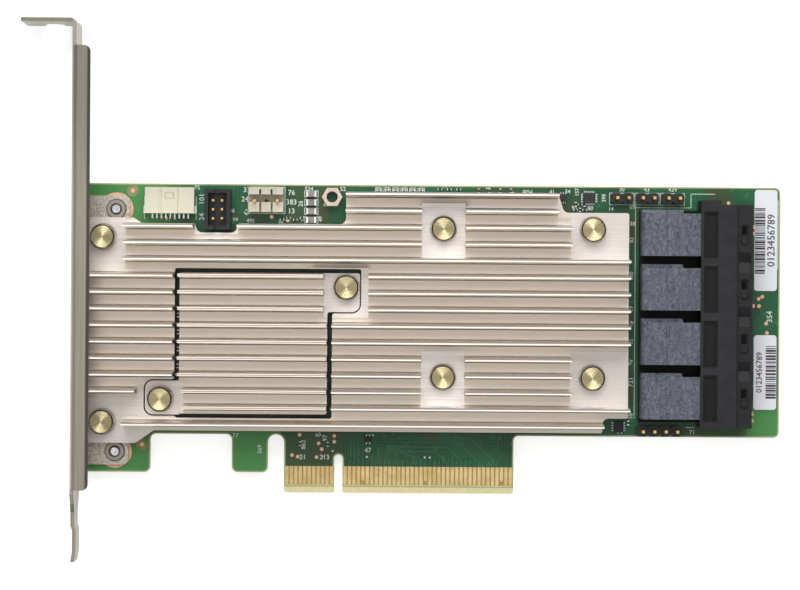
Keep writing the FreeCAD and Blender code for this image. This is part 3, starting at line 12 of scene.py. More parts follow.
import bmesh
import bpy
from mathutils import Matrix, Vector


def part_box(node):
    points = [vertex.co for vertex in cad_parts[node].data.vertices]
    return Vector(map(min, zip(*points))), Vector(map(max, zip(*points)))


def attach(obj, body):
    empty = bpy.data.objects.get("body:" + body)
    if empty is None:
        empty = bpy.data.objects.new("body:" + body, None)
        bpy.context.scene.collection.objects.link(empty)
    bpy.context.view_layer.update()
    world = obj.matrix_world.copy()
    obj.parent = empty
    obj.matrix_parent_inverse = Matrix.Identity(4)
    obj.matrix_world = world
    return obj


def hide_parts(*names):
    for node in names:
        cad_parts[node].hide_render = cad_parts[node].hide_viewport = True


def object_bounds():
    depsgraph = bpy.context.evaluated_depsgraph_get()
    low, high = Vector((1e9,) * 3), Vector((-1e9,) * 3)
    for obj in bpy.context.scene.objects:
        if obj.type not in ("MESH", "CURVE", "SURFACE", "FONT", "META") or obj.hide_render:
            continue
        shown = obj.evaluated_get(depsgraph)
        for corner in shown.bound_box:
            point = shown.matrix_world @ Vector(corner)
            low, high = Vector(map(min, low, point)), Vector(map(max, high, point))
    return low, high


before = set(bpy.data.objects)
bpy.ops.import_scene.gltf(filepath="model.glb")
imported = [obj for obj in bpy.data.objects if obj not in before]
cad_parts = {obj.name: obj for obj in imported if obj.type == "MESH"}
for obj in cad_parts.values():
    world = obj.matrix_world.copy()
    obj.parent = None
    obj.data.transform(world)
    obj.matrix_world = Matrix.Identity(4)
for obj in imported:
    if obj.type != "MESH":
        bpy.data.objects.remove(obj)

cad_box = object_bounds()

MM = 0.001
BODY = "root"
INK = 0.02  # thickness of a printed mark
EPS = 0.004  # places closer than this are the same place
RIM = 0.32  # width of the bare rim and of the rings round holes

Span = namedtuple("Span", "west east south north low high")


def span(node):
    """The box of a solid, in millimetres."""
    low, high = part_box(node)
    return Span(*(value / MM for pair in zip(low, high) for value in pair))


def at(x, y, z=0.0):
    return Vector((x, y, z)) * MM


def rgb(red, green, blue):
    """A colour from 0 to 255 for each channel, as a linear colour."""
    linear = []
    for channel in (red, green, blue):
        share = channel / 255
        linear.append(share / 12.92 if share <= 0.04045 else ((share + 0.055) / 1.055) ** 2.4)
    return (*linear, 1.0)


fingers = span("edge_contacts_front")
sink = span("outer_heat_sink")
shell = span("port_shell")
ports_east = span("port_housing_1").east
back_face = span("edge_contacts_back").high - fingers.low  # level of the board's back
FIRST_FIN = 15.44  # middle of the southernmost fin
FIN_PITCH = 3.66
FLATS = 1.88  # from the inner sink's underside up to the milled flats
WINDOW = (-36.6, -1.6, 16.7, 50.0)  # west, east, south and north of the inner sink's place
COLLAR = 2.0  # radius of the pressed collar round each bracket screw
PIN_HEAD = 2.7  # radius of a push pin's head
PIN_AISLE = 23.0  # X of the two middle push pins
FOLD_WEST, FOLD_MIDDLE, FOLD_EAST = -59.0, -58.6, -57.9  # X across the bracket's fold
LIP_LOW = 12.0  # the bracket's sheet is its stiffening lip above this height
LIP_EAST = -55.0  # free edge of that lip
FOOT_WEST, FOOT_HIGH = -57.5, 1.0  # the bracket's feet lie east of this and below this
KEY_FLOOR = 1.4  # height of the key header's floor

# ---------------------------------------------------------------- shader maths


class Socket:
    """One output of a material's nodes. Arithmetic on it adds Math nodes."""

    def __init__(self, finish, output):
        self.finish = finish
        self.output = output

    def math(self, operation, *values):
        return self.finish.node("Math", {"operation": operation}, dict(enumerate(values)))

    def __add__(self, other):
        return self.math("ADD", self, other)

    def __sub__(self, other):
        return self.math("SUBTRACT", self, other)

    def __rsub__(self, other):
        return self.math("SUBTRACT", other, self)

    def __mul__(self, other):
        return self.math("MULTIPLY", self, other)

    def __truediv__(self, other):
        return self.math("DIVIDE", self, other)

    def __pow__(self, other):
        return self.math("POWER", self, other)

    def __gt__(self, other):
        return self.math("GREATER_THAN", self, other)

    def __lt__(self, other):
        return self.math("LESS_THAN", self, other)

    def __abs__(self):
        return self.math("ABSOLUTE", self)

    __radd__ = __add__
    __rmul__ = __mul__

    def sine(self):
        return self.math("SINE", self)

    def fraction(self):
        return self.math("FRACT", self)

    def least(self, other):
        return self.math("MINIMUM", self, other)

    def most(self, other):
        return self.math("MAXIMUM", self, other)

    def between(self, low, high):
        return (self > low) * (self < high)

    def ramp(self, low, high, start=0.0, end=1.0):
        """Goes smoothly from start to end as this goes from low to high."""
        settings = {"interpolation_type": "SMOOTHSTEP"}
        inputs = {"Value": self, "From Min": low, "From Max": high, "To Min": start, "To Max": end}
        return self.finish.node("MapRange", settings, inputs)


class Finish:
    """A material whose patterns are laid out in millimetres of the card."""

    def __init__(self, name, **values):
        self.material = bpy.data.materials.new(name)
        self.material.use_nodes = True
        self.tree = self.material.node_tree
        self.shader = self.tree.nodes["Principled BSDF"]
        self.put(**values)
        inputs = {0: self.node("TexCoord", output="Object"), "Scale": 1 / MM}
        self.place = self.node("VectorMath", {"operation": "SCALE"}, inputs)
        self.x, self.y, self.z = self.split(self.place)
        _, self.ny, self.nz = self.split(self.node("NewGeometry", output="Normal"))

    def node(self, kind, settings=None, inputs=None, output=0):
        """Adds a node, sets it up, fills its sockets and returns one of its outputs."""
        made = self.tree.nodes.new("ShaderNode" + kind)
        for name, value in (settings or {}).items():
            setattr(made, name, value)
        for name, value in (inputs or {}).items():
            if isinstance(value, Socket):
                self.tree.links.new(value.output, made.inputs[name])
            else:
                made.inputs[name].default_value = value
        return Socket(self, made.outputs[output])

    def put(self, **values):
        """Sets or links sockets of the shader: base_color is Base Color."""
        for name, value in values.items():
            title = name.replace("_", " ").title().replace("Ior", "IOR")
            target = self.shader.inputs[title]
            if isinstance(value, Socket):
                self.tree.links.new(value.output, target)
            else:
                target.default_value = value

    def split(self, vector):
        """The three numbers of a vector."""
        return [self.node("SeparateXYZ", {}, {0: vector}, axis) for axis in "XYZ"]

    def stretched(self, along_x, along_y, along_z, vector=None):
        """A place with each direction multiplied by a factor of its own."""
        inputs = {0: vector or self.place, 1: (along_x, along_y, along_z)}
        return self.node("VectorMath", {"operation": "MULTIPLY"}, inputs)

    def turned(self, degrees):
        """The place, turned about Z."""
        inputs = {0: self.place, "Angle": math.radians(degrees)}
        return self.node("VectorRotate", {}, inputs)

    def radius_from(self, centres):
        """Distance from the nearest of these centres, as seen from above."""
        radius = None
        for x, y, _ in centres:
            side = ((self.x - x) ** 2 + (self.y - y) ** 2) ** 0.5
            radius = side if radius is None else radius.least(side)
        return radius

    def noise(self, scale=1.0, detail=3.0, roughness=0.5, vector=None):
        inputs = {"Scale": scale, "Detail": detail, "Roughness": roughness}
        return self.node("TexNoise", {}, {"Vector": vector or self.place, **inputs})

    def cells(self, scale, output="Distance", distance="EUCLIDEAN"):
        settings = {"distance": distance, "voronoi_dimensions": "3D"}
        inputs = {"Vector": self.place, "Scale": scale}
        return self.node("TexVoronoi", settings, inputs, output)

    def mix(self, mask, first, second):
        return self.node("Mix", {"data_type": "RGBA"}, {0: mask, 6: first, 7: second}, 2)

    def bump(self, height, distance, strength=1.0):
        """Normals from a height of 0 to 1, where 1 stands for so many millimetres."""
        inputs = {"Height": height, "Distance": distance * MM, "Strength": strength}
        self.put(normal=self.node("Bump", {}, inputs))


# ---------------------------------------------------------------- finishes of the board


def solder_mask():
    """Green mask over copper, with bare laminate at the edge fingers and on sawn edges."""
    finish = Finish("solder_mask", ior=1.5, specular_ior_level=0.35)
    x, y, z = finish.x, finish.y, finish.z
    cell = finish.node("SeparateColor", {}, {0: finish.cells(0.16, "Color", "CHEBYCHEV")})
    lines_along = (y * 9.5).sine() > 0.45
    lines_across = (x * 9.5).sine() > 0.45
    lines_slanting = ((x + y) * 6.8).sine() > 0.5
    routed = (cell < 0.28) * lines_along + cell.between(0.28, 0.5) * lines_across
    routed = routed + cell.between(0.5, 0.66) * lines_slanting
    poured = cell > 0.66
    vias = finish.cells(0.42) < 0.2
    broad = finish.noise(0.05, 2.0)
    fine = finish.noise(1.6, 4.0)
    dark, middle, light = rgb(10, 68, 42), rgb(18, 94, 56), rgb(52, 134, 80)
    green = finish.mix(broad.ramp(0.38, 0.62), dark, middle)
    green = finish.mix(routed * 0.28, green, light)
    green = finish.mix(poured * 0.2, green, light)
    green = finish.mix(vias * 0.4, green, light)
    green = finish.mix(finish.noise(0.11, 2.0).ramp(0.56, 0.66) * 0.75, green, rgb(62, 78, 34))
    component_side = z > back_face / 2
    south_strip = y < 13.6
    north_west = (y > 60.0) * x.ramp(-42.0, -34.0, 1.0, 0.0)
    south_east = x.ramp(89.0, 93.0) * y.ramp(17.0, 23.0, 1.0, 0.0)
    unrouted = north_west.most(south_strip * (x < -13.0)).most(south_east)
    green = finish.mix(unrouted * component_side * 0.75, green, rgb(82, 158, 80))
    north_strip = (y > 58.0) * x.between(-11.5, -3.0)
    bare_core = (south_strip * x.between(-12.0, 0.8)).most(north_strip)
    green = finish.mix(bare_core * component_side * 0.5, green, rgb(66, 76, 40))
    west, east, south, north = WINDOW
    margin = 1.0
    # Painted shade: the board showing in the gap round the inner heat sink is darkened nearly to
    # black.
    gap_shade = x.between(west - margin, east + margin) * y.between(south - margin, north + margin)
    green = finish.mix(gap_shade * component_side * 0.7, green, rgb(12, 20, 12))
    gaps = finish.mix(fine.ramp(0.3, 0.7), rgb(168, 142, 92), rgb(190, 166, 112))
    pale = finish.mix(fine.ramp(0.3, 0.7), rgb(244, 230, 172), rgb(255, 246, 198))
    at_fingers = x.between(fingers.west - margin, fingers.east + margin)
    bare = (y < fingers.north) * at_fingers
    bevelled = 1.75  # the board's edge is bevelled up to here, north of its south edge
    tips = (y < bevelled) * at_fingers
    layers = (z * 22.0).sine() > 0.2
    sawn = finish.mix(layers, rgb(150, 146, 92), rgb(190, 184, 128))
    colour = finish.mix(bare, green, gaps)
    colour = finish.mix(tips, colour, pale)
    colour = finish.mix(abs(finish.nz) < 0.3, colour, sawn)
    finish.put(base_color=colour, roughness=fine * 0.12 + 0.3 + bare * 0.25)
    height = (routed + poured) * 0.5 + vias * 0.4 + fine * 0.1
    finish.bump(height * (1 - bare), 0.03, 0.5)
    return finish.material


def laminate():
    finish = Finish("bare_laminate", roughness=0.55)
    grain = finish.noise(1.4, 4.0)
    finish.put(base_color=finish.mix(grain, rgb(158, 170, 110), rgb(196, 200, 146)))
    finish.bump(grain, 0.02)
    return finish.material


def gold_plate():
    finish = Finish("gold_plate", metallic=1.0)
    grain = finish.noise(3.0, 4.0, vector=finish.stretched(6.0, 0.5, 1.0))
    blotch = finish.noise(0.35, 3.0)
    warm = finish.mix(blotch.ramp(0.35, 0.65), rgb(204, 176, 120), rgb(222, 196, 142))
    warm = finish.mix((finish.x < 0.0) * 0.35, warm, rgb(184, 160, 108))
    finish.put(base_color=warm, roughness=grain * 0.15 + 0.34)
    finish.bump(grain, 0.008, 0.5)
    return finish.material


def copper(name="bare_copper"):
    finish = Finish(name, metallic=0.55)
    grain = finish.noise(2.2, 3.0)
    finish.put(base_color=finish.mix(grain, rgb(224, 160, 132), rgb(240, 190, 160)))
    finish.put(roughness=grain * 0.2 + 0.35)
    finish.bump(grain, 0.01, 0.5)
    return finish.material


def ink():
    """White print that lets a little of the mask through where it is thin."""
    finish = Finish("white_ink", roughness=0.6)
    grain = finish.noise(3.5, 4.0)
    finish.put(base_color=finish.mix(grain.ramp(0.35, 0.7), rgb(200, 214, 204), rgb(238, 242, 238)))
    finish.bump(grain, 0.006, 0.5)
    return finish.material


def trace_mask():
    finish = Finish("mask_over_traces", ior=1.5)
    grain = finish.noise(1.2, 3.0)
    finish.put(base_color=finish.mix(grain, rgb(58, 124, 86), rgb(92, 150, 112)))
    finish.put(roughness=grain * 0.1 + 0.35)
    return finish.material


# ---------------------------------------------------------------- metal finishes


SHADED_BANDS = [  # west, east, south and north of painted shade at the ends of some channels
    (18.2, 28.6, 64.2, 66.4), (-6.0, 6.6, 50.0, 52.2), (-41.0, -36.0, 22.4, 24.4),
]


def sink_aluminium():
    """Champagne anodising on an extrusion, bright cutter lines on its milled flats, painted shade
    in the channels and painted highlights on the fins.
    """
    finish = Finish("sink_aluminium", metallic=1.0)
    x, y, z = finish.x, finish.y, finish.z
    level = span("inner_heat_sink").low + FLATS
    die_lines = finish.noise(1.0, 5.0, 0.65, finish.stretched(0.02, 5.0, 5.0))
    broad = finish.noise(0.09, 2.0, vector=finish.stretched(0.4, 1.0, 1.0))
    cutter = finish.noise(1.0, 4.0, 0.6, finish.stretched(0.05, 3.2, 1.0))
    swirl = finish.noise(0.22, 2.0)
    across = ((y - FIRST_FIN) / FIN_PITCH).fraction()
    # Painted shade: each channel's floor darkens towards the fin north of it.
    anodised_and_shade = finish.mix(across.ramp(0.12, 0.55), rgb(226, 218, 211), rgb(180, 172, 162))
    anodised_and_shade = finish.mix(die_lines.ramp(0.3, 0.7) * 0.3, anodised_and_shade, rgb(222, 211, 196))
    anodised_and_shade = finish.mix(broad.ramp(0.3, 0.7) * 0.25, anodised_and_shade, rgb(206, 194, 180))
    soft = 0.8
    # Painted shade where the fins darken the ends of these channels next to the flats.
    for west, east, south, north in SHADED_BANDS:
        along = x.ramp(west - soft, west + soft) * (1 - x.ramp(east - soft, east + soft))
        shade_band = along * (1 - y.ramp(south, north)) * (y > south) * (z < sink.high - 2.0)
        anodised_and_shade = finish.mix(shade_band * 0.75, anodised_and_shade, rgb(104, 96, 88))
    milled = finish.mix(cutter.ramp(0.3, 0.72), rgb(222, 214, 209), rgb(240, 235, 231))
    milled = finish.mix(swirl.ramp(0.4, 0.7) * 0.25, milled, rgb(214, 204, 194))
    outer_pads = abs(x - PIN_AISLE).ramp(12.0, 30.0)
    milled = finish.mix(outer_pads * 0.45, milled, rgb(190, 182, 174))
    # Each fin's tip is painted with shade to the north and a highlight to the south of its middle.
    # On the inner sink the painted shade lies only close to the middle, between two painted
    # highlights.
    from_middle = (across - (across > 0.5)) * FIN_PITCH
    painted_crest = finish.mix(from_middle.ramp(-0.02, 0.06), rgb(255, 250, 242), rgb(150, 140, 130))
    painted_double_crest = finish.mix(abs(from_middle).ramp(0.06, 0.14), rgb(150, 142, 132), rgb(252, 244, 234))
    painted_crest = finish.mix(x.between(*WINDOW[:2]) * y.between(*WINDOW[2:]), painted_crest, painted_double_crest)
    flat = z.between(level - 0.06, level + 0.06)
    flank = (abs(finish.ny) > 0.8) * (z > level + 0.3)
    tips = z > sink.high - 0.12
    colour = finish.mix(flat, anodised_and_shade, milled)
    # Painted highlight: the flanks are painted nearly white against the shade the fins cast on each
    # other.
    colour = finish.mix(flank, colour, rgb(246, 238, 228))
    colour = finish.mix(tips, colour, painted_crest)
    finish.put(base_color=colour, roughness=die_lines * 0.16 + 0.3 + flat * 0.08)
    # The flanks that face south between the fins glow faintly: painted light, standing in for more
    # light from the next fin than the bounces give.
    between_fins = y.between(sink.south + 1.6, sink.north - 1.6)
    lifted = flank * between_fins * (finish.ny < 0.0)
    painted_fill_glow = finish.mix(lifted, rgb(0, 0, 0), rgb(100, 94, 86))
    finish.put(emission_color=painted_fill_glow, emission_strength=1.0)
    finish.bump(die_lines * (1 - flat) + flat * cutter, 0.02, 0.55)
    return finish.material


def turned_brass(pins):
    """Brass with concentric tool marks round each pin's own axis."""
    finish = Finish("turned_brass", metallic=1.0)
    radius = finish.radius_from(pins)
    grain = finish.noise(1.2, 3.0)
    rings = (radius * 42.0).sine() * 0.5 + 0.5
    coarse = (radius * 17.0 + grain).sine() * 0.5 + 0.5
    colour = finish.mix(coarse * 0.6, rgb(192, 178, 136), rgb(224, 212, 174))
    # Painted shade: the side of each pin's head is darkened to a dark brown.
    rim = (radius > PIN_HEAD - 0.3) * (finish.nz < 0.95)
    colour = finish.mix(rim * 0.85, colour, rgb(64, 52, 34))
    finish.put(base_color=colour, roughness=grain * 0.08 + 0.16)
    finish.bump(rings * 0.6 + coarse * 0.4, 0.04, 1.0)
    return finish.material


def bracket_steel():
    """Nickel on rolled sheet. The feet keep a scratchy zinc mottle with bright collars."""
    finish = Finish("bracket_steel", metallic=1.0)
    x, y, z = finish.x, finish.y, finish.z
    rolled = finish.noise(1.0, 5.0, 0.6, finish.stretched(3.0, 0.05, 3.0))
    scratched = finish.stretched(7.0, 2.2, 2.0, finish.turned(40))
    mottle = finish.noise(1.0, 4.0, 0.7, scratched)
    cloud = finish.noise(0.7, 3.0)
    sheet = finish.mix(rolled.ramp(0.3, 0.7), rgb(140, 134, 119), rgb(156, 149, 135))
    lip = z > LIP_LOW
    # Painted highlight along the fold of the lip.
    fold = (1 - x.ramp(FOLD_MIDDLE, FOLD_EAST)) * (x > FOLD_WEST)
    sheet = finish.mix(lip * fold * 0.45, sheet, rgb(224, 218, 204))
    sheet = finish.mix(lip * y.ramp(62.0, 92.0) * 0.5, sheet, rgb(92, 88, 78))
    # Painted shade along the lip's free edge.
    lip_edge_shade = x.ramp(LIP_EAST - 0.8, LIP_EAST - 0.45)
    sheet = finish.mix(lip * lip_edge_shade * 0.85, sheet, rgb(44, 38, 36))
    zinc = finish.mix(mottle.ramp(0.36, 0.64), rgb(124, 116, 105), rgb(216, 209, 199))
    zinc = finish.mix(cloud.ramp(0.4, 0.7) * 0.5, zinc, rgb(186, 180, 170))
    foot = (z < FOOT_HIGH) * (x > FOOT_WEST)
    colour = finish.mix(foot, sheet, zinc)
    radius = finish.radius_from(solid_centres("bracket_screws"))
    colour = finish.mix(foot * (radius < COLLAR), colour, rgb(198, 200, 206))
    collar_edge = radius.between(COLLAR - 0.12, COLLAR + 0.3)
    colour = finish.mix(foot * collar_edge, colour, rgb(92, 90, 92))
    finish.put(base_color=colour, roughness=mottle * 0.14 + 0.32 + foot * 0.04)
    finish.put(metallic=foot * 0.3 + 0.7)
    finish.bump(rolled * 0.3 + mottle * 0.5, 0.02, 0.6)
    return finish.material


def plated(name, colour, other, roughness=0.25, depth=0.01):
    """Small plated or tinned parts."""
    finish = Finish(name, metallic=1.0)
    grain = finish.noise(2.6, 4.0)
    finish.put(base_color=finish.mix(grain.ramp(0.3, 0.7), rgb(*colour), rgb(*other)))
    finish.put(roughness=grain * 0.2 + roughness)
    finish.bump(grain, depth, 0.5)
    return finish.material


# ---------------------------------------------------------------- plastic, paper and ceramic


def moulded(name, colour, other, roughness=0.45, depth=0.015):
    """Plain moulded plastic with a fine sparked texture."""
    finish = Finish(name, ior=1.5)
    grain = finish.noise(6.0, 4.0, 0.6)
    blotch = finish.noise(0.4, 3.0)
    finish.put(base_color=finish.mix(blotch.ramp(0.3, 0.7), rgb(*colour), rgb(*other)))
    finish.put(roughness=grain * 0.2 + roughness)
    finish.bump(grain, depth, 0.6)
    return finish.material


def shell_black():
    """Black polymer, with painted shade below its top and a nearly black painted shade far down in
    the windows.
    """
    finish = Finish("connector_black", ior=1.5, specular_ior_level=0.3)
    grain = finish.noise(6.0, 4.0, 0.6)
    blotch = finish.noise(0.4, 3.0)
    windows_east = ports_east + 4.5
    sunk_shade = finish.z < shell.high - 0.1
    deep_shade = (finish.z < shell.high - 0.2) * (finish.x < windows_east)
    colour = finish.mix(blotch.ramp(0.3, 0.7), rgb(34, 34, 37), rgb(42, 42, 46))
    # Painted shade on the faces below the top and in the windows.
    colour = finish.mix(sunk_shade * 0.35, colour, rgb(16, 16, 20))
    colour = finish.mix(deep_shade * 0.9, colour, rgb(2, 2, 4))
    finish.put(base_color=colour, roughness=grain * 0.2 + 0.45)
    finish.bump(grain, 0.015, 0.6)
    return finish.material


def housing_polymer():
    """Filled polymer whose flow shows as silvery blue-grey streaks and fine dark creases."""
    finish = Finish("housing_polymer", ior=1.5)
    warp = finish.noise(0.5, 3.0)
    shift = finish.node("CombineXYZ", {}, {0: warp * 3.0, 1: warp * 5.0})
    warped = finish.node("VectorMath", {"operation": "ADD"}, {0: finish.turned(-35), 1: shift})
    drawn = finish.stretched(1.0, 2.6, 1.0, warped)
    flow = finish.noise(0.9, 8.0, 0.74, drawn)
    cloud = finish.noise(0.22, 2.0)
    creases = abs(finish.noise(0.8, 4.0, 0.6, drawn) - 0.5).ramp(0.0, 0.03)
    flecks = finish.noise(7.0, 2.0)
    colour = finish.mix(flow.ramp(0.34, 0.66), rgb(38, 41, 52), rgb(124, 129, 144))
    colour = finish.mix(cloud.ramp(0.4, 0.65) * 0.35, colour, rgb(72, 76, 90))
    colour = finish.mix(flecks.ramp(0.6, 0.75) * 0.5, colour, rgb(140, 146, 158))
    colour = finish.mix((1 - creases) * 0.5, colour, rgb(30, 32, 42))
    finish.put(base_color=colour, roughness=flow * 0.25 + 0.35)
    finish.bump(flow * 0.6 + flecks * 0.3 + creases * 0.1, 0.03, 0.7)
    return finish.material


def socket_nylon():
    """Ivory nylon whose lid has two seams and, at its open side, a grip recess in painted shade,
    with painted shade growing towards that side.
    """
    finish = Finish("socket_nylon", ior=1.5)
    box = span("wire_connector")
    grain = finish.noise(6.0, 4.0)
    middle = (box.west + box.east) / 2
    aside = abs(finish.x - middle)
    top = finish.z > box.high - 0.05
    seams = aside.between(1.78, 1.9) * top
    recess = (aside < 1.0) * finish.y.between(box.north - 2.5, box.north - 1.2) * top
    shade = finish.y.ramp(box.south + 1.5, box.north)
    colour = finish.mix(grain, rgb(216, 212, 188), rgb(230, 226, 206))
    # Painted shade, darker towards the open side and in the grip recess.
    colour = finish.mix(shade * 0.25, colour, rgb(206, 203, 176))
    colour = finish.mix(seams * 0.5, colour, rgb(150, 148, 120))
    colour = finish.mix(recess * 0.55, colour, rgb(150, 146, 104))
    finish.put(base_color=colour, roughness=grain * 0.2 + 0.4)
    finish.bump(grain * 0.1 - recess * 0.6 - seams * 0.4, 0.1, 0.8)
    return finish.material


def label_paper():
    finish = Finish("label_paper", ior=1.45)
    fibre = finish.noise(2.0, 4.0)
    finish.put(base_color=finish.mix(fibre, rgb(238, 240, 245), rgb(248, 249, 252)))
    finish.put(roughness=fibre * 0.1 + 0.45)
    finish.bump(fibre, 0.01, 0.5)
    return finish.material


# ---------------------------------------------------------------- dressing the solids


def dress(material, *nodes):
    for name in nodes:
        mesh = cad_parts[name].data
        mesh.materials.clear()
        mesh.materials.append(material)


def solid_centres(node):
    """The middles of the separate solids in a node, in millimetres, in a fixed order."""
    shape = bmesh.new()
    shape.from_mesh(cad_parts[node].data)
    bmesh.ops.remove_doubles(shape, verts=shape.verts, dist=1e-6)
    seen = set()
    centres = []
    for start in shape.verts:
        if start in seen:
            continue
        island = [start]
        seen.add(start)
        for vert in island:
            for edge in vert.link_edges:
                other = edge.other_vert(vert)
                if other not in seen:
                    seen.add(other)
                    island.append(other)
        low = [min(vert.co[axis] for vert in island) for axis in range(3)]
        high = [max(vert.co[axis] for vert in island) for axis in range(3)]
        centres.append(tuple((a + b) / 2 / MM for a, b in zip(low, high)))
    shape.free()
    return sorted(centres)


outer_pins = solid_centres("outer_push_pins")
inner_pins = solid_centres("inner_push_pins")

white_ink = ink()
connector_black = shell_black()
header_black = moulded("header_black", (8, 8, 11), (17, 17, 21), roughness=0.35)
ivory = moulded("ivory_nylon", (196, 190, 170), (212, 206, 188), roughness=0.4, depth=0.01)
chip_epoxy = moulded("chip_epoxy", (38, 38, 42), (46, 46, 50), roughness=0.5)
contact_gold = plated("contact_gold", (186, 146, 74), (222, 188, 118), 0.2)
tinned = plated("tinned_copper", (196, 196, 196), (226, 226, 226), 0.22)
screw_zinc = plated("screw_zinc", (150, 152, 158), (214, 216, 222), 0.2, 0.03)
ceramic = moulded("capacitor_ceramic", (128, 122, 120), (154, 146, 142), roughness=0.4)

dress(solder_mask(), "circuit_board")
dress(gold_plate(), "edge_contacts_front", "edge_contacts_back")
dress(sink_aluminium(), "outer_heat_sink", "inner_heat_sink")
dress(turned_brass(outer_pins + inner_pins), "outer_push_pins", "inner_push_pins")
dress(bracket_steel(), "mounting_bracket")
dress(screw_zinc, "bracket_screws")
dress(plated("standoff_nickel", (184, 166, 148), (214, 198, 182), 0.25), "hex_standoff")
dress(connector_black, "port_shell")
dress(housing_polymer(), *(f"port_housing_{n}" for n in range(1, 5)))
dress(header_black, *(f"port_core_{n}" for n in range(1, 5)))
dress(header_black, "shrouded_header", "led_headers", "test_header")
dress(contact_gold, "port_contacts", "wire_connector_pins", "shrouded_header_pins")
dress(contact_gold, "key_header_pins", "led_header_pins", "test_header_pins")
dress(socket_nylon(), "wire_connector")
dress(ivory, "key_header")
dress(tinned, "wire_connector_tails", "wire_connector_clips")
dress(tinned, "large_capacitor_ends", "edge_capacitor_ends", "back_capacitor_ends")
dress(ceramic, "large_capacitor_bodies", "edge_capacitor_bodies", "back_capacitor_bodies")
dress(chip_epoxy, "memory_chips", "back_memory_chips", "power_regulators", "flash_chip")
dress(chip_epoxy, "back_chip", "quad_chip", "logic_chip", "monitor_chip", "transistor")
dress(moulded("pressed_ferrite", (70, 70, 74), (88, 88, 92), roughness=0.6), "power_inductors")
package_green = moulded("package_laminate", (30, 84, 50), (40, 100, 60), roughness=0.35)
dress(package_green, "controller_substrate")
dress(plated("polished_silicon", (60, 60, 68), (78, 78, 88), 0.1), "controller_die")
pad_grey = moulded("thermal_pad", (138, 142, 150), (156, 160, 166), roughness=0.7)
dress(pad_grey, "controller_thermal_pad", "memory_thermal_pads")
dress(label_paper(), "upper_label", "lower_label")

# ---------------------------------------------------------------- modelling helpers


def only(*pieces):
    """Selects just these pieces and makes the last one active."""
    bpy.ops.object.select_all(action="DESELECT")
    for piece in pieces:
        piece.select_set(True)
    bpy.context.view_layer.objects.active = pieces[-1]


def choose(kind, test):
    """In edit mode, selects just the faces or edges that pass the test."""
    shape = bmesh.from_edit_mesh(bpy.context.active_object.data)
    bpy.ops.mesh.select_mode(type=kind)
    bpy.ops.mesh.select_all(action="DESELECT")
    for element in shape.faces if kind == "FACE" else shape.edges:
        if test(element):
            element.select_set(True)
    bmesh.update_edit_mesh(bpy.context.active_object.data)


def new_block(length, width, height, bevel=0.0, segments=2):
    """A block on the ground at the origin with its upper and standing edges rounded."""
    bpy.ops.object.select_all(action="DESELECT")
    size = at(length, width, height)
    bpy.ops.mesh.primitive_cube_add(size=1.0, location=at(0, 0, height / 2), scale=size)
    bpy.ops.object.transform_apply(location=True, rotation=True, scale=True)
    piece = bpy.context.active_object
    if bevel:
        bpy.ops.object.mode_set(mode="EDIT")
        choose("EDGE", lambda edge: max(vert.co.z for vert in edge.verts) > EPS * MM)
        bpy.ops.mesh.bevel(offset=bevel * MM, segments=segments, affect="EDGES")
        bpy.ops.object.mode_set(mode="OBJECT")
    return piece


def settle(piece, name, material):
    """Names a piece, applies its place, gives it its finish and lets it ride on the card."""
    only(piece)
    bpy.ops.object.transform_apply(location=True, rotation=True, scale=True)
    piece.name = name
    piece.data.name = name
    piece.data.materials.clear()
    piece.data.materials.append(material)
    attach(piece, BODY)
    return piece


AS_MADE = (0.0, (1.0, 1.0, 1.0))  # turn and scale of a copy that gives neither


def spread(name, master, spots, material):
    """Copies a master to each (x, y, z, turn, scale) and joins the copies into one piece.

    The turn is in degrees. A spot may leave out its scale, or both turn and scale.
    """
    copies = []
    for spot in spots:
        x, y, z, turn, scale = spot + AS_MADE[len(spot) - 3 :]
        copy = master.copy()
        copy.data = master.data.copy()
        bpy.context.collection.objects.link(copy)
        copy.location = at(x, y, z)
        copy.rotation_euler.z = math.radians(turn)
        copy.scale = scale
        copies.append(copy)
    bpy.data.objects.remove(master)
    only(*copies)
    bpy.ops.object.join()
    return settle(bpy.context.active_object, name, material)


# ---------------------------------------------------------------- board details


def face_rings(side):
    """The strips of one face of the board that lie along its outline and round its holes."""
    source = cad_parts["circuit_board"]
    copy = bpy.data.objects.new("face_rings", source.data.copy())
    bpy.context.collection.objects.link(copy)
    level = 0.0 if side > 0 else back_face
    only(copy)
    bpy.ops.object.mode_set(mode="EDIT")
    bpy.ops.mesh.select_all(action="SELECT")
    bpy.ops.mesh.remove_doubles(threshold=EPS * MM / 4)
    choose("FACE", lambda face: any(abs(v.co.z / MM - level) > EPS for v in face.verts))
    bpy.ops.mesh.delete(type="FACE")
    bpy.ops.mesh.select_all(action="SELECT")
    bpy.ops.mesh.inset(thickness=RIM * MM, use_boundary=True, use_even_offset=True)
    bpy.ops.mesh.delete(type="FACE")
    bpy.ops.mesh.select_all(action="SELECT")
    bpy.ops.mesh.separate(type="LOOSE")
    bpy.ops.object.mode_set(mode="OBJECT")
    return list(bpy.context.selected_objects)


def width_of(piece):
    xs = [vert.co.x for vert in piece.data.vertices]
    return max(xs) - min(xs)


def board_rims():
    """Bare laminate along the outline and tinned rings round the holes, on both faces."""
    for side, word in ((1, "front"), (-1, "back")):
        rings = sorted(face_rings(side), key=width_of)
        rim, pads = rings[-1], rings[:-1]
        only(*pads)
        if len(pads) > 1:
            bpy.ops.object.join()
        pad = bpy.context.active_object
        for piece, name, material, slot in (
            (rim, f"board_rim_{word}", laminate(), "solder_mask"),
            (pad, f"hole_rings_{word}", tinned, "tinned_copper"),
        ):
            only(piece)
            bpy.ops.object.modifier_add(type="SOLIDIFY")
            piece.modifiers[-1].thickness = INK * MM
            piece.modifiers[-1].offset = 1.0
            bpy.ops.object.modifier_apply(modifier=piece.modifiers[-1].name)
            settle(piece, name, material)


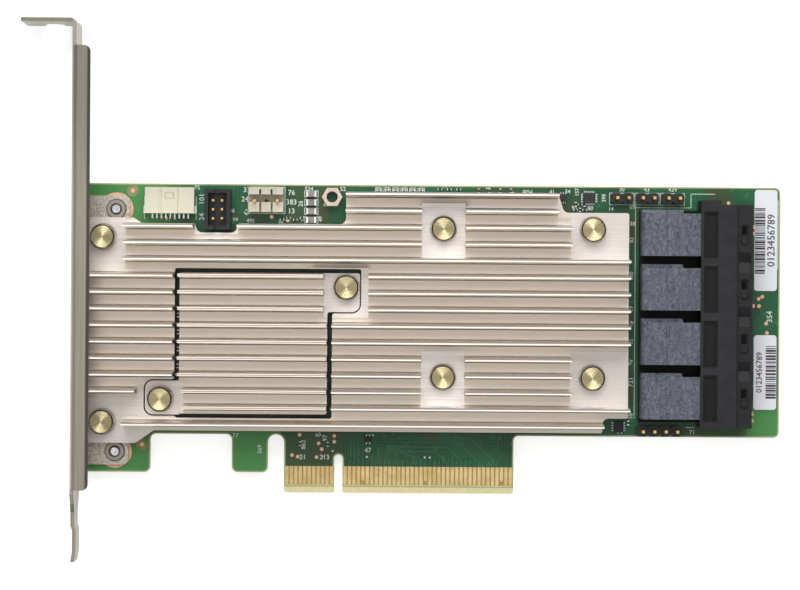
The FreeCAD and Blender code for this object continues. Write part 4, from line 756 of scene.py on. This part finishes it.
def pin_coils(name, node, pins):
    """Helical springs between the sink and the pins' heads."""
    box = span(node)
    wire = 0.45  # thickness of the wire
    outer = 4.6  # outer diameter of the coil
    turns = 4
    steps = 16  # to a turn
    rise = (box.high - box.low - wire) / turns
    bpy.ops.object.select_all(action="DESELECT")
    bpy.ops.mesh.primitive_circle_add(
        vertices=8,
        radius=wire / 2 * MM,
        fill_type="NGON",
        location=at((outer - wire) / 2, 0, wire / 2),
        rotation=(math.pi / 2, 0, 0),
    )
    bpy.ops.object.transform_apply(location=True, rotation=True, scale=True)
    coil = bpy.context.active_object
    bpy.ops.object.mode_set(mode="EDIT")
    bpy.ops.mesh.delete(type="ONLY_FACE")
    bpy.ops.object.mode_set(mode="OBJECT")
    bpy.ops.object.modifier_add(type="SCREW")
    screw = coil.modifiers[-1]
    screw.screw_offset = rise * MM
    screw.iterations = turns
    screw.steps = steps
    screw.render_steps = steps
    bpy.ops.object.modifier_apply(modifier=screw.name)
    bpy.ops.object.mode_set(mode="EDIT")
    bpy.ops.mesh.select_all(action="SELECT")
    bpy.ops.mesh.remove_doubles(threshold=EPS * MM / 4)
    bpy.ops.mesh.select_all(action="DESELECT")
    bpy.ops.mesh.select_mode(type="EDGE")
    bpy.ops.mesh.select_non_manifold()
    bpy.ops.mesh.edge_face_add()
    bpy.ops.mesh.select_all(action="SELECT")
    bpy.ops.mesh.normals_make_consistent(inside=False)
    bpy.ops.object.mode_set(mode="OBJECT")
    bpy.ops.object.shade_smooth()
    spots = [(x, y, box.low) for x, y, _ in pins]
    steel = plated(f"{name}_steel", (150, 148, 144), (196, 194, 190), 0.25)
    piece = spread(name, coil, spots, steel)
    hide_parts(node)


def disc(radius, height, vertices=20):
    bpy.ops.object.select_all(action="DESELECT")
    bpy.ops.mesh.primitive_cylinder_add(
        vertices=vertices, radius=radius * MM, depth=height * MM, location=at(0, 0, height / 2)
    )
    bpy.ops.object.transform_apply(location=True, rotation=True, scale=True)
    return bpy.context.active_object


def ring(outer, inner, height, vertices=32):
    """A flat ring: a disc whose upper and lower faces are inset and bridged."""
    piece = disc(outer, height, vertices)
    bpy.ops.object.mode_set(mode="EDIT")
    choose("FACE", lambda face: abs(face.normal.z) > 0.9)
    bpy.ops.mesh.inset(thickness=(outer - inner) * MM)
    bpy.ops.mesh.bridge_edge_loops()
    bpy.ops.object.mode_set(mode="OBJECT")
    return piece


TEST_PADS = [
    (-15.6, 66.7), (-3.4, 66.2), (-15.3, 61.6), (-11.7, 60.9), (2.6, 60.8), (-8.7, 12.9),
    (-0.95, 12.7), (-4.45, 11.0), (-3.75, 9.7), (-10.4, 8.35), (-9.1, 8.0), (-4.9, 7.9),
    (-0.95, 11.4), (86.9, 65.4), (92.6, 60.1), (92.6, 58.6), (94.6, 44.5), (92.6, 42.4),
    (93.9, 42.4), (93.8, 44.0), (95.5, 38.5), (95.7, 36.4), (96.1, 35.4), (94.5, 35.4),
    (92.5, 18.2), (92.5, 16.7), (38.6, 67.2), (44.9, 67.0),
]
PRINTED_DOTS = [
    (7.7, 12.9), (-1.3, 9.3), (6.35, 8.05), (19.3, 8.0), (20.45, 8.0), (-3.6, 8.1), (-37.0, 61.0),
]
TARGETS = [(-46.4, 67.3), (-44.0, 10.5)]
SCREW_PADS = [(-50.0, 63.1), (-50.0, 8.97)]


def on_board(places):
    """Places on the component side, at its surface."""
    return [(x, y, 0.0) for x, y in places]


def pads_and_targets():
    """Bare copper test pads, printed dots, alignment targets and the screws' pads."""
    spread("test_pads", disc(0.42, INK, 14), on_board(TEST_PADS), copper())
    dots = on_board(PRINTED_DOTS)
    spread("printed_dots", disc(0.25, INK, 12), dots, white_ink)
    targets = on_board(TARGETS)
    grey = moulded("target_laminate", (132, 138, 84), (158, 158, 108), roughness=0.6)
    spread("target_rings", disc(1.35, INK, 32), targets, grey)
    spread("target_dots", disc(0.5, 2 * INK, 20), targets, copper("target_copper"))
    pads = on_board(SCREW_PADS)
    spread("screw_pads", ring(3.75, 1.7, INK), pads, copper("pad_copper"))


def traces():
    """Raised copper runs under the mask, fanning out to the edge fingers."""
    top = sink.south - 0.4
    foot = fingers.north + 0.6
    run_radius = 0.09
    run_level = -0.055  # of a run's middle, so that most of it lies in the board
    routes = []
    for n in range(3):
        x = 2.7 + 0.85 * n
        routes.append([(x, top), (x, foot + (3 - n) * 0.5)])
    routes.append([(9.0, top), (9.0, foot)])
    routes.append([(9.6, top), (12.9, 10.4), (12.9, foot)])
    routes.append([(10.4, top), (17.0, 8.0), (17.0, foot)])
    apart = 1.03
    for n in range(4):
        start = 12.7 + apart * n
        level = 9.3 + apart * n
        bend = start + (top - level) * 1.3
        turn = 21.8 + 2.6 * n
        end = turn + (level - foot - 0.6)
        routes.append([(start, top), (bend, level), (turn, level), (end, foot + 0.6), (end, foot)])
    for n in range(34):
        x = fingers.west + 14.2 + n
        routes.append([(x, foot + 0.9), (x + 0.3, foot + 0.5), (x, foot + 0.1), (x, foot - 0.4)])
    curve = bpy.data.curves.new("traces", "CURVE")
    curve.dimensions = "3D"
    curve.bevel_depth = run_radius * MM
    curve.bevel_resolution = 1
    for route in routes:
        spline = curve.splines.new("POLY")
        spline.points.add(len(route) - 1)
        for point, (x, y) in zip(spline.points, route):
            point.co = (*at(x, y, run_level), 1.0)
    piece = bpy.data.objects.new("traces", curve)
    bpy.context.collection.objects.link(piece)
    only(piece)
    bpy.ops.object.convert(target="MESH")
    settle(bpy.context.active_object, "finger_traces", trace_mask())


def outline_print():
    """White outlines round connectors, capacitors and the chips on the back, of thin bars."""
    keys = span("key_header")
    wires = span("wire_connector")
    leds = span("led_headers")
    line = 0.16
    bars = []

    def bar(west, south, east, north, z=0.0):
        """A printed line between two places, along X or Y."""
        size = (max(east - west, line), max(north - south, line), 1.0)
        bars.append(((west + east) / 2, (south + north) / 2, z, 0.0, size))

    def frame_round(west, south, east, north, z=0.0):
        bar(west, south, east, south, z)
        bar(west, north, east, north, z)
        bar(west, south, west, north, z)
        bar(east, south, east, north, z)

    line_x = shell.west - 0.8
    step_x = ports_east - 1.6
    bar(line_x, shell.south + 1.8, line_x, shell.north)
    bar(line_x, shell.north - 1.5, step_x, shell.north - 1.5)
    bar(step_x, shell.north - 1.5, step_x, shell.north + 1.6)
    bar(step_x, shell.north + 1.6, ports_east + 3.8, shell.north + 1.6)
    corner_x = ports_east - 2.4
    bar(corner_x, shell.south + 2.6, corner_x, shell.south - 0.2)
    bar(corner_x, shell.south - 0.2, ports_east - 0.6, shell.south - 0.2)
    bar(98.0, 50.6, 98.0, 66.0)
    gap = 0.25
    frame_round(keys.west - gap, keys.south - gap, keys.east + gap, keys.north + gap)
    for x in (wires.west - 0.3, wires.east + 0.3):
        bar(x, wires.south - 1.3, x, wires.north - 2.0)
    gap, half = 0.2, 2.5
    for x, _, _ in solid_centres("led_headers"):
        frame_round(x - half - gap, leds.south - gap, x + half + gap, leds.north)
    reach, half_y, hook = 1.5, 0.75, 0.15
    for x, y, _ in solid_centres("large_capacitor_bodies"):
        for side in (-1, 1):
            bar(x + side * reach, y - half_y, x + side * reach, y + half_y)
            middle = x + side * 1.3
            bar(middle - hook, y + half_y, middle + hook, y + half_y)
            bar(middle - hook, y - half_y, middle + hook, y - half_y)
    gap, half_x, half_y = 0.12, 0.6, 0.35
    for x, y, _ in solid_centres("edge_capacitor_bodies"):
        frame_round(x - half_x - gap, y - half_y - gap, x + half_x + gap, y + half_y + gap)
    gap = 0.25
    for node in ("back_memory_chips", "back_chip"):
        box = span(node)
        centres = solid_centres(node)
        half_x, half_y = centres[0][0] - box.west + gap, centres[0][1] - box.south + gap
        for x, y, _ in centres:
            frame_round(x - half_x, y - half_y, x + half_x, y + half_y, back_face - INK)
    spread("printed_outlines", new_block(1.0, 1.0, INK), bars, white_ink)


NUMBERS = [  # x, y, height and turn of each number on the component side
    (-30.9, 65.5, 1.25, 90), (-30.9, 61.5, 1.25, 90), (-20.9, 67.6, 1.2, 0), (-20.9, 65.5, 1.2, 0),
    (-20.9, 62.6, 1.0, 60), (-10.9, 67.0, 1.2, 0), (-10.9, 64.9, 1.2, 0), (-10.9, 62.9, 1.2, 0),
    (-8.8, 64.6, 1.0, 90), (-7.0, 67.9, 0.95, 0), (0.6, 67.9, 1.0, 0), (3.3, 63.2, 1.0, 0),
    (3.4, 62.2, 0.9, 0), (-38.5, 61.0, 1.0, 0), (-27.3, 60.0, 1.0, 0), (42.0, 67.4, 1.2, 0),
    (47.4, 67.6, 0.9, 0), (50.9, 67.7, 0.9, 0), (53.0, 67.6, 0.9, 90), (56.0, 64.0, 1.0, 0),
    (52.4, 64.1, 0.9, 0), (59.0, 66.3, 0.9, 90), (63.0, 68.25, 0.95, 0), (68.6, 68.25, 0.95, 0),
    (74.4, 68.25, 0.95, 0), (65.4, 64.3, 1.0, 0), (65.3, 57.0, 0.9, 90), (65.3, 49.0, 0.9, 90),
    (65.3, 41.6, 0.9, 90), (65.3, 34.2, 0.9, 90), (65.3, 25.2, 1.1, 90), (65.3, 17.6, 1.0, 90),
    (79.1, 14.0, 1.0, 0), (-7.8, 10.7, 1.05, 90), (-3.0, 12.2, 1.05, 90), (-8.0, 7.9, 1.1, 0),
    (-3.1, 7.9, 1.1, 0), (6.6, 9.5, 1.1, 0), (-4.6, 12.9, 0.95, 0), (96.3, 40.0, 1.3, 90),
    (-24.2, 62.9, 0.95, 0), (-23.4, 60.9, 0.9, 0), (-20.0, 60.7, 0.9, 0), (-8.2, 61.2, 0.9, 90),
    (-4.4, 61.2, 0.9, 90), (-2.9, 64.4, 0.9, 0), (-32.0, 68.0, 0.95, 0), (-13.2, 60.4, 0.8, 0),
    (23.4, 68.6, 0.6, 0), (33.0, 68.5, 0.7, 0), (65.4, 60.6, 0.9, 0), (65.2, 38.0, 0.9, 60),
    (65.2, 29.6, 0.9, 60), (-23.1, 12.6, 1.0, 0), (-17.6, 9.6, 1.0, 90), (60.6, 63.9, 0.9, 0),
]
BACK_NUMBERS = [  # x and y of each number on the back
    (-40.0, 43.6), (-22.0, 42.0), (-16.0, 20.4), (9.0, 49.6), (20.4, 49.6), (31.8, 49.6),
    (43.2, 49.6), (-22.0, 66.0), (62.0, 64.5), (70.0, 64.5), (76.0, 64.5), (64.0, 17.5),
    (80.0, 30.0), (44.0, 60.0), (-40.0, 17.0), (24.0, 17.0),
]


def written(words, x, y, z, height, turn, flip=0.0):
    """A raised text object in plain type, centred on its place. Turn is in degrees."""
    bpy.ops.object.select_all(action="DESELECT")
    bpy.ops.object.text_add(location=at(x, y, z + INK / 2), rotation=(flip, 0, math.radians(turn)))
    text = bpy.context.active_object
    text.data.body = words
    text.data.size = height * 1.35 * MM
    text.data.align_x = "CENTER"
    text.data.align_y = "CENTER"
    text.data.extrude = INK / 2 * MM
    text.data.resolution_u = 2
    text.data.offset = 0.02 * MM
    return text


def printed_numbers():
    """Plain running numbers in white ink beside the parts."""
    texts = []
    for count, (x, y, height, turn) in enumerate(NUMBERS):
        words = str(11 + 13 * count % 89) if count % 3 else str(101 + 47 * count % 790)
        texts.append(written(words, x, y, 0.0, height, turn))
    for count, (x, y) in enumerate(BACK_NUMBERS):
        words = str(17 + 29 * count)
        texts.append(written(words, x, y, back_face - INK, 1.3, 180.0, math.pi))
    only(*texts)
    bpy.ops.object.convert(target="MESH")
    bpy.ops.object.join()
    settle(bpy.context.active_object, "printed_numbers", white_ink)


def small_passives():
    """Tiny resistors and capacitors: dark bodies between tinned ends."""
    body_height = 0.35
    to_end = 0.4  # from a body's middle to an end's middle
    row = [(22.3 + 2.1 * n, 68.0, 0.0) for n in range(3)]
    row += [(31.0 + 2.4 * n, 67.75, 90.0) for n in range(4)]
    cluster = [(52.7 + 1.0 * (n % 3), 63.6 + 1.25 * (n // 3), 90.0 * (n % 2)) for n in range(6)]
    west = [(-13.0 + 1.5 * n, 61.0 + 0.35 * (n % 2), 0.0) for n in range(4)]
    south = [(-8.6, 10.9, 90.0), (-2.4, 10.8, 90.0), (62.9, 13.9, 0.0), (64.8, 16.0, 90.0)]
    gap = [(-36.1, 22.4 + 1.9 * n, 90.0 * (n % 2)) for n in range(11)]
    places = [(0.0, place) for place in row + cluster + west + south + gap]
    back = []
    for n in range(9):
        back += [(-12.0 + 3.1 * n, 22.0 + 7.0 * line, 90.0 * (line % 2)) for line in range(2)]
    back += [(30.0 + 2.4 * n, 56.0, 0.0) for n in range(8)]
    places += [(back_face - body_height, place) for place in back]
    spots = [(x, y, z, turn) for z, (x, y, turn) in places]
    body = moulded("resistor_glaze", (34, 34, 38), (48, 48, 54), roughness=0.3)
    block = new_block(0.62, 0.48, body_height, 0.03, 1)
    spread("resistor_bodies", block, spots, body)
    ends = []
    for x, y, z, turn in spots:
        angle = math.radians(turn)
        for step in (-to_end, to_end):
            ends.append((x + step * math.cos(angle), y + step * math.sin(angle), z, turn))
    block = new_block(0.2, 0.52, body_height + 0.01, 0.05, 2)
    spread("resistor_ends", block, ends, tinned)


LEADS = {  # leads along each of a chip's south and north sides, and along its other two
    "quad_chip": (6, 5), "logic_chip": (3, 0), "monitor_chip": (0, 4), "transistor": (2, 0),
}


def chip_leads():
    """Tinned leads along the sides of the small chips."""
    out = 0.15  # from a chip's side to the middle of a lead
    used = 0.9  # share of a side that holds leads
    leads = []
    for node, (along, beside) in LEADS.items():
        box = span(node)
        middle_x, middle_y = (box.west + box.east) / 2, (box.south + box.north) / 2
        for number in range(along):
            x = middle_x + (box.east - box.west) * ((number + 0.5) / along - 0.5) * used
            leads += [(x, box.south - out, 0.0, 90.0), (x, box.north + out, 0.0, 90.0)]
        for number in range(beside):
            y = middle_y + (box.north - box.south) * ((number + 0.5) / beside - 0.5) * used
            leads += [(box.west - out, y, 0.0, 0.0), (box.east + out, y, 0.0, 0.0)]
    block = new_block(0.55, 0.2, 0.16, 0.04, 2)
    spread("chip_leads", block, leads, tinned)


def key_blank():
    """The empty middle place of the key header: a moulded plug with a dark hole."""
    keys = span("key_header")
    pins = span("key_header_pins")
    spot = ((keys.west + keys.east) / 2, (pins.south + pins.north) / 2, KEY_FLOOR)
    hole = moulded("key_hole", (22, 20, 18), (34, 30, 26))
    spread("key_blank", ring(0.42, 0.12, 0.25, 20), [spot], hole)


def solder_joints():
    """Domed solder round every through-hole lead, on the back of the board."""
    bpy.ops.object.select_all(action="DESELECT")
    bpy.ops.mesh.primitive_cone_add(
        vertices=14, radius1=0.72 * MM, radius2=0.3 * MM, depth=0.55 * MM, rotation=(math.pi, 0, 0)
    )
    bpy.ops.object.transform_apply(location=True, rotation=True, scale=True)
    dome = bpy.context.active_object
    bpy.ops.object.mode_set(mode="EDIT")
    choose("EDGE", lambda edge: all(vert.co.z < 0 for vert in edge.verts))
    bpy.ops.mesh.bevel(offset=0.16 * MM, segments=3, affect="EDGES")
    bpy.ops.object.mode_set(mode="OBJECT")
    bpy.ops.object.shade_smooth()
    level = back_face - 0.27  # of a dome's middle, so that its base dips into the board
    leads = []
    for header in ("shrouded", "key", "led", "test"):
        leads += [(x, y, level) for x, y, _ in solid_centres(f"{header}_header_pins")]
    spread("solder_joints", dome, leads, tinned)


def label_bars():
    """Plain bars of uneven width on the two labels, a generic bar pattern."""
    draw = random.Random(7)
    bars = []
    labels = (("upper_label", -1, 0.17, 0.83), ("lower_label", 1, 0.15, 0.86))
    for label, side, start, end in labels:
        box = span(label)
        middle = (box.west + box.east) / 2 + side * 1.3
        place = box.south + (box.north - box.south) * start
        stop = box.south + (box.north - box.south) * end
        while place < stop:
            width = draw.choice((0.16, 0.22, 0.3, 0.46))
            bars.append((middle, place + width / 2, box.high, 0.0, (2.3, width, 1.0)))
            place += width + draw.choice((0.16, 0.16, 0.3))
    bar_ink = moulded("label_ink", (52, 52, 58), (74, 74, 80), roughness=0.6)
    spread("label_bars", new_block(1.0, 1.0, INK), bars, bar_ink)


def label_digits():
    """The digits 0 to 9 in a plain row beside the bars of each label."""
    texts = []
    for label, side, height in (("upper_label", 1, 1.75), ("lower_label", -1, 1.35)):
        box = span(label)
        x = (box.west + box.east) / 2 + side * 1.25
        middle = (box.south + box.north) / 2
        texts.append(written("0123456789", x, middle, box.high, height, 90))
    only(*texts)
    bpy.ops.object.convert(target="MESH")
    bpy.ops.object.join()
    digit_ink = moulded("digit_ink", (58, 58, 64), (80, 80, 86), roughness=0.6)
    settle(bpy.context.active_object, "label_digits", digit_ink)


board_rims()
pin_coils("outer_pin_coils", "outer_pin_springs", outer_pins)
pin_coils("inner_pin_coils", "inner_pin_springs", inner_pins)
pads_and_targets()
traces()
outline_print()
printed_numbers()
small_passives()
chip_leads()
key_blank()
solder_joints()
label_bars()
label_digits()

# ---------------------------------------------------------------- floor, light and camera


def pale_floor():
    """A plain floor, white to the camera and in reflections, that keeps soft shadows."""
    bpy.ops.object.select_all(action="DESELECT")
    low = min(corner[2] for corner in cad_box)
    bpy.ops.mesh.primitive_plane_add(size=6.0, location=(0.0, 0.0, low))
    floor = bpy.context.active_object
    floor.name = "floor"
    finish = Finish("pale_floor", base_color=rgb(232, 232, 230), roughness=0.9)
    path = finish.node("LightPath", {}, {}, "Is Camera Ray")
    glossy = finish.node("LightPath", {}, {}, "Is Glossy Ray")
    finish.put(emission_color=(1, 1, 1, 1), emission_strength=path.most(glossy) * 0.68)
    floor.data.materials.append(finish.material)


def studio_light():
    """A pale dome, one large soft lamp overhead and one from the top edge's side."""
    world = bpy.data.worlds.new("studio")
    bpy.context.scene.world = world
    world.use_nodes = True
    background = world.node_tree.nodes["Background"]
    background.inputs["Color"].default_value = (1.0, 1.0, 1.0, 1.0)
    background.inputs["Strength"].default_value = 0.38
    lamps = {
        "key": (at(-40, 620, 760), 0.7, 6.5),
        "top": (at(20, 40, 1500), 0.9, 2.2),
    }
    aim = at(15, 45, 0)
    for name, (place, side, power) in lamps.items():
        lamp = bpy.data.lights.new(name, "AREA")
        lamp.shape = "SQUARE"
        lamp.size = side
        lamp.energy = power
        thing = bpy.data.objects.new(name, lamp)
        thing.location = place
        thing.rotation_euler = (aim - place).to_track_quat("-Z", "Y").to_euler()
        bpy.context.collection.objects.link(thing)


def camera():
    """Straight above the card, which lies turned by under half a degree."""
    data = bpy.data.cameras.new("camera")
    data.sensor_width = 36.0
    data.lens = 183.4
    view = bpy.data.objects.new("camera", data)
    view.location = at(13.53, 44.32, 912.0)
    view.rotation_euler = (0.0, 0.0, math.radians(0.4))
    bpy.context.collection.objects.link(view)
    bpy.context.scene.camera = view


pale_floor()
studio_light()
camera()
bpy.context.scene.view_settings.view_transform = "Standard"
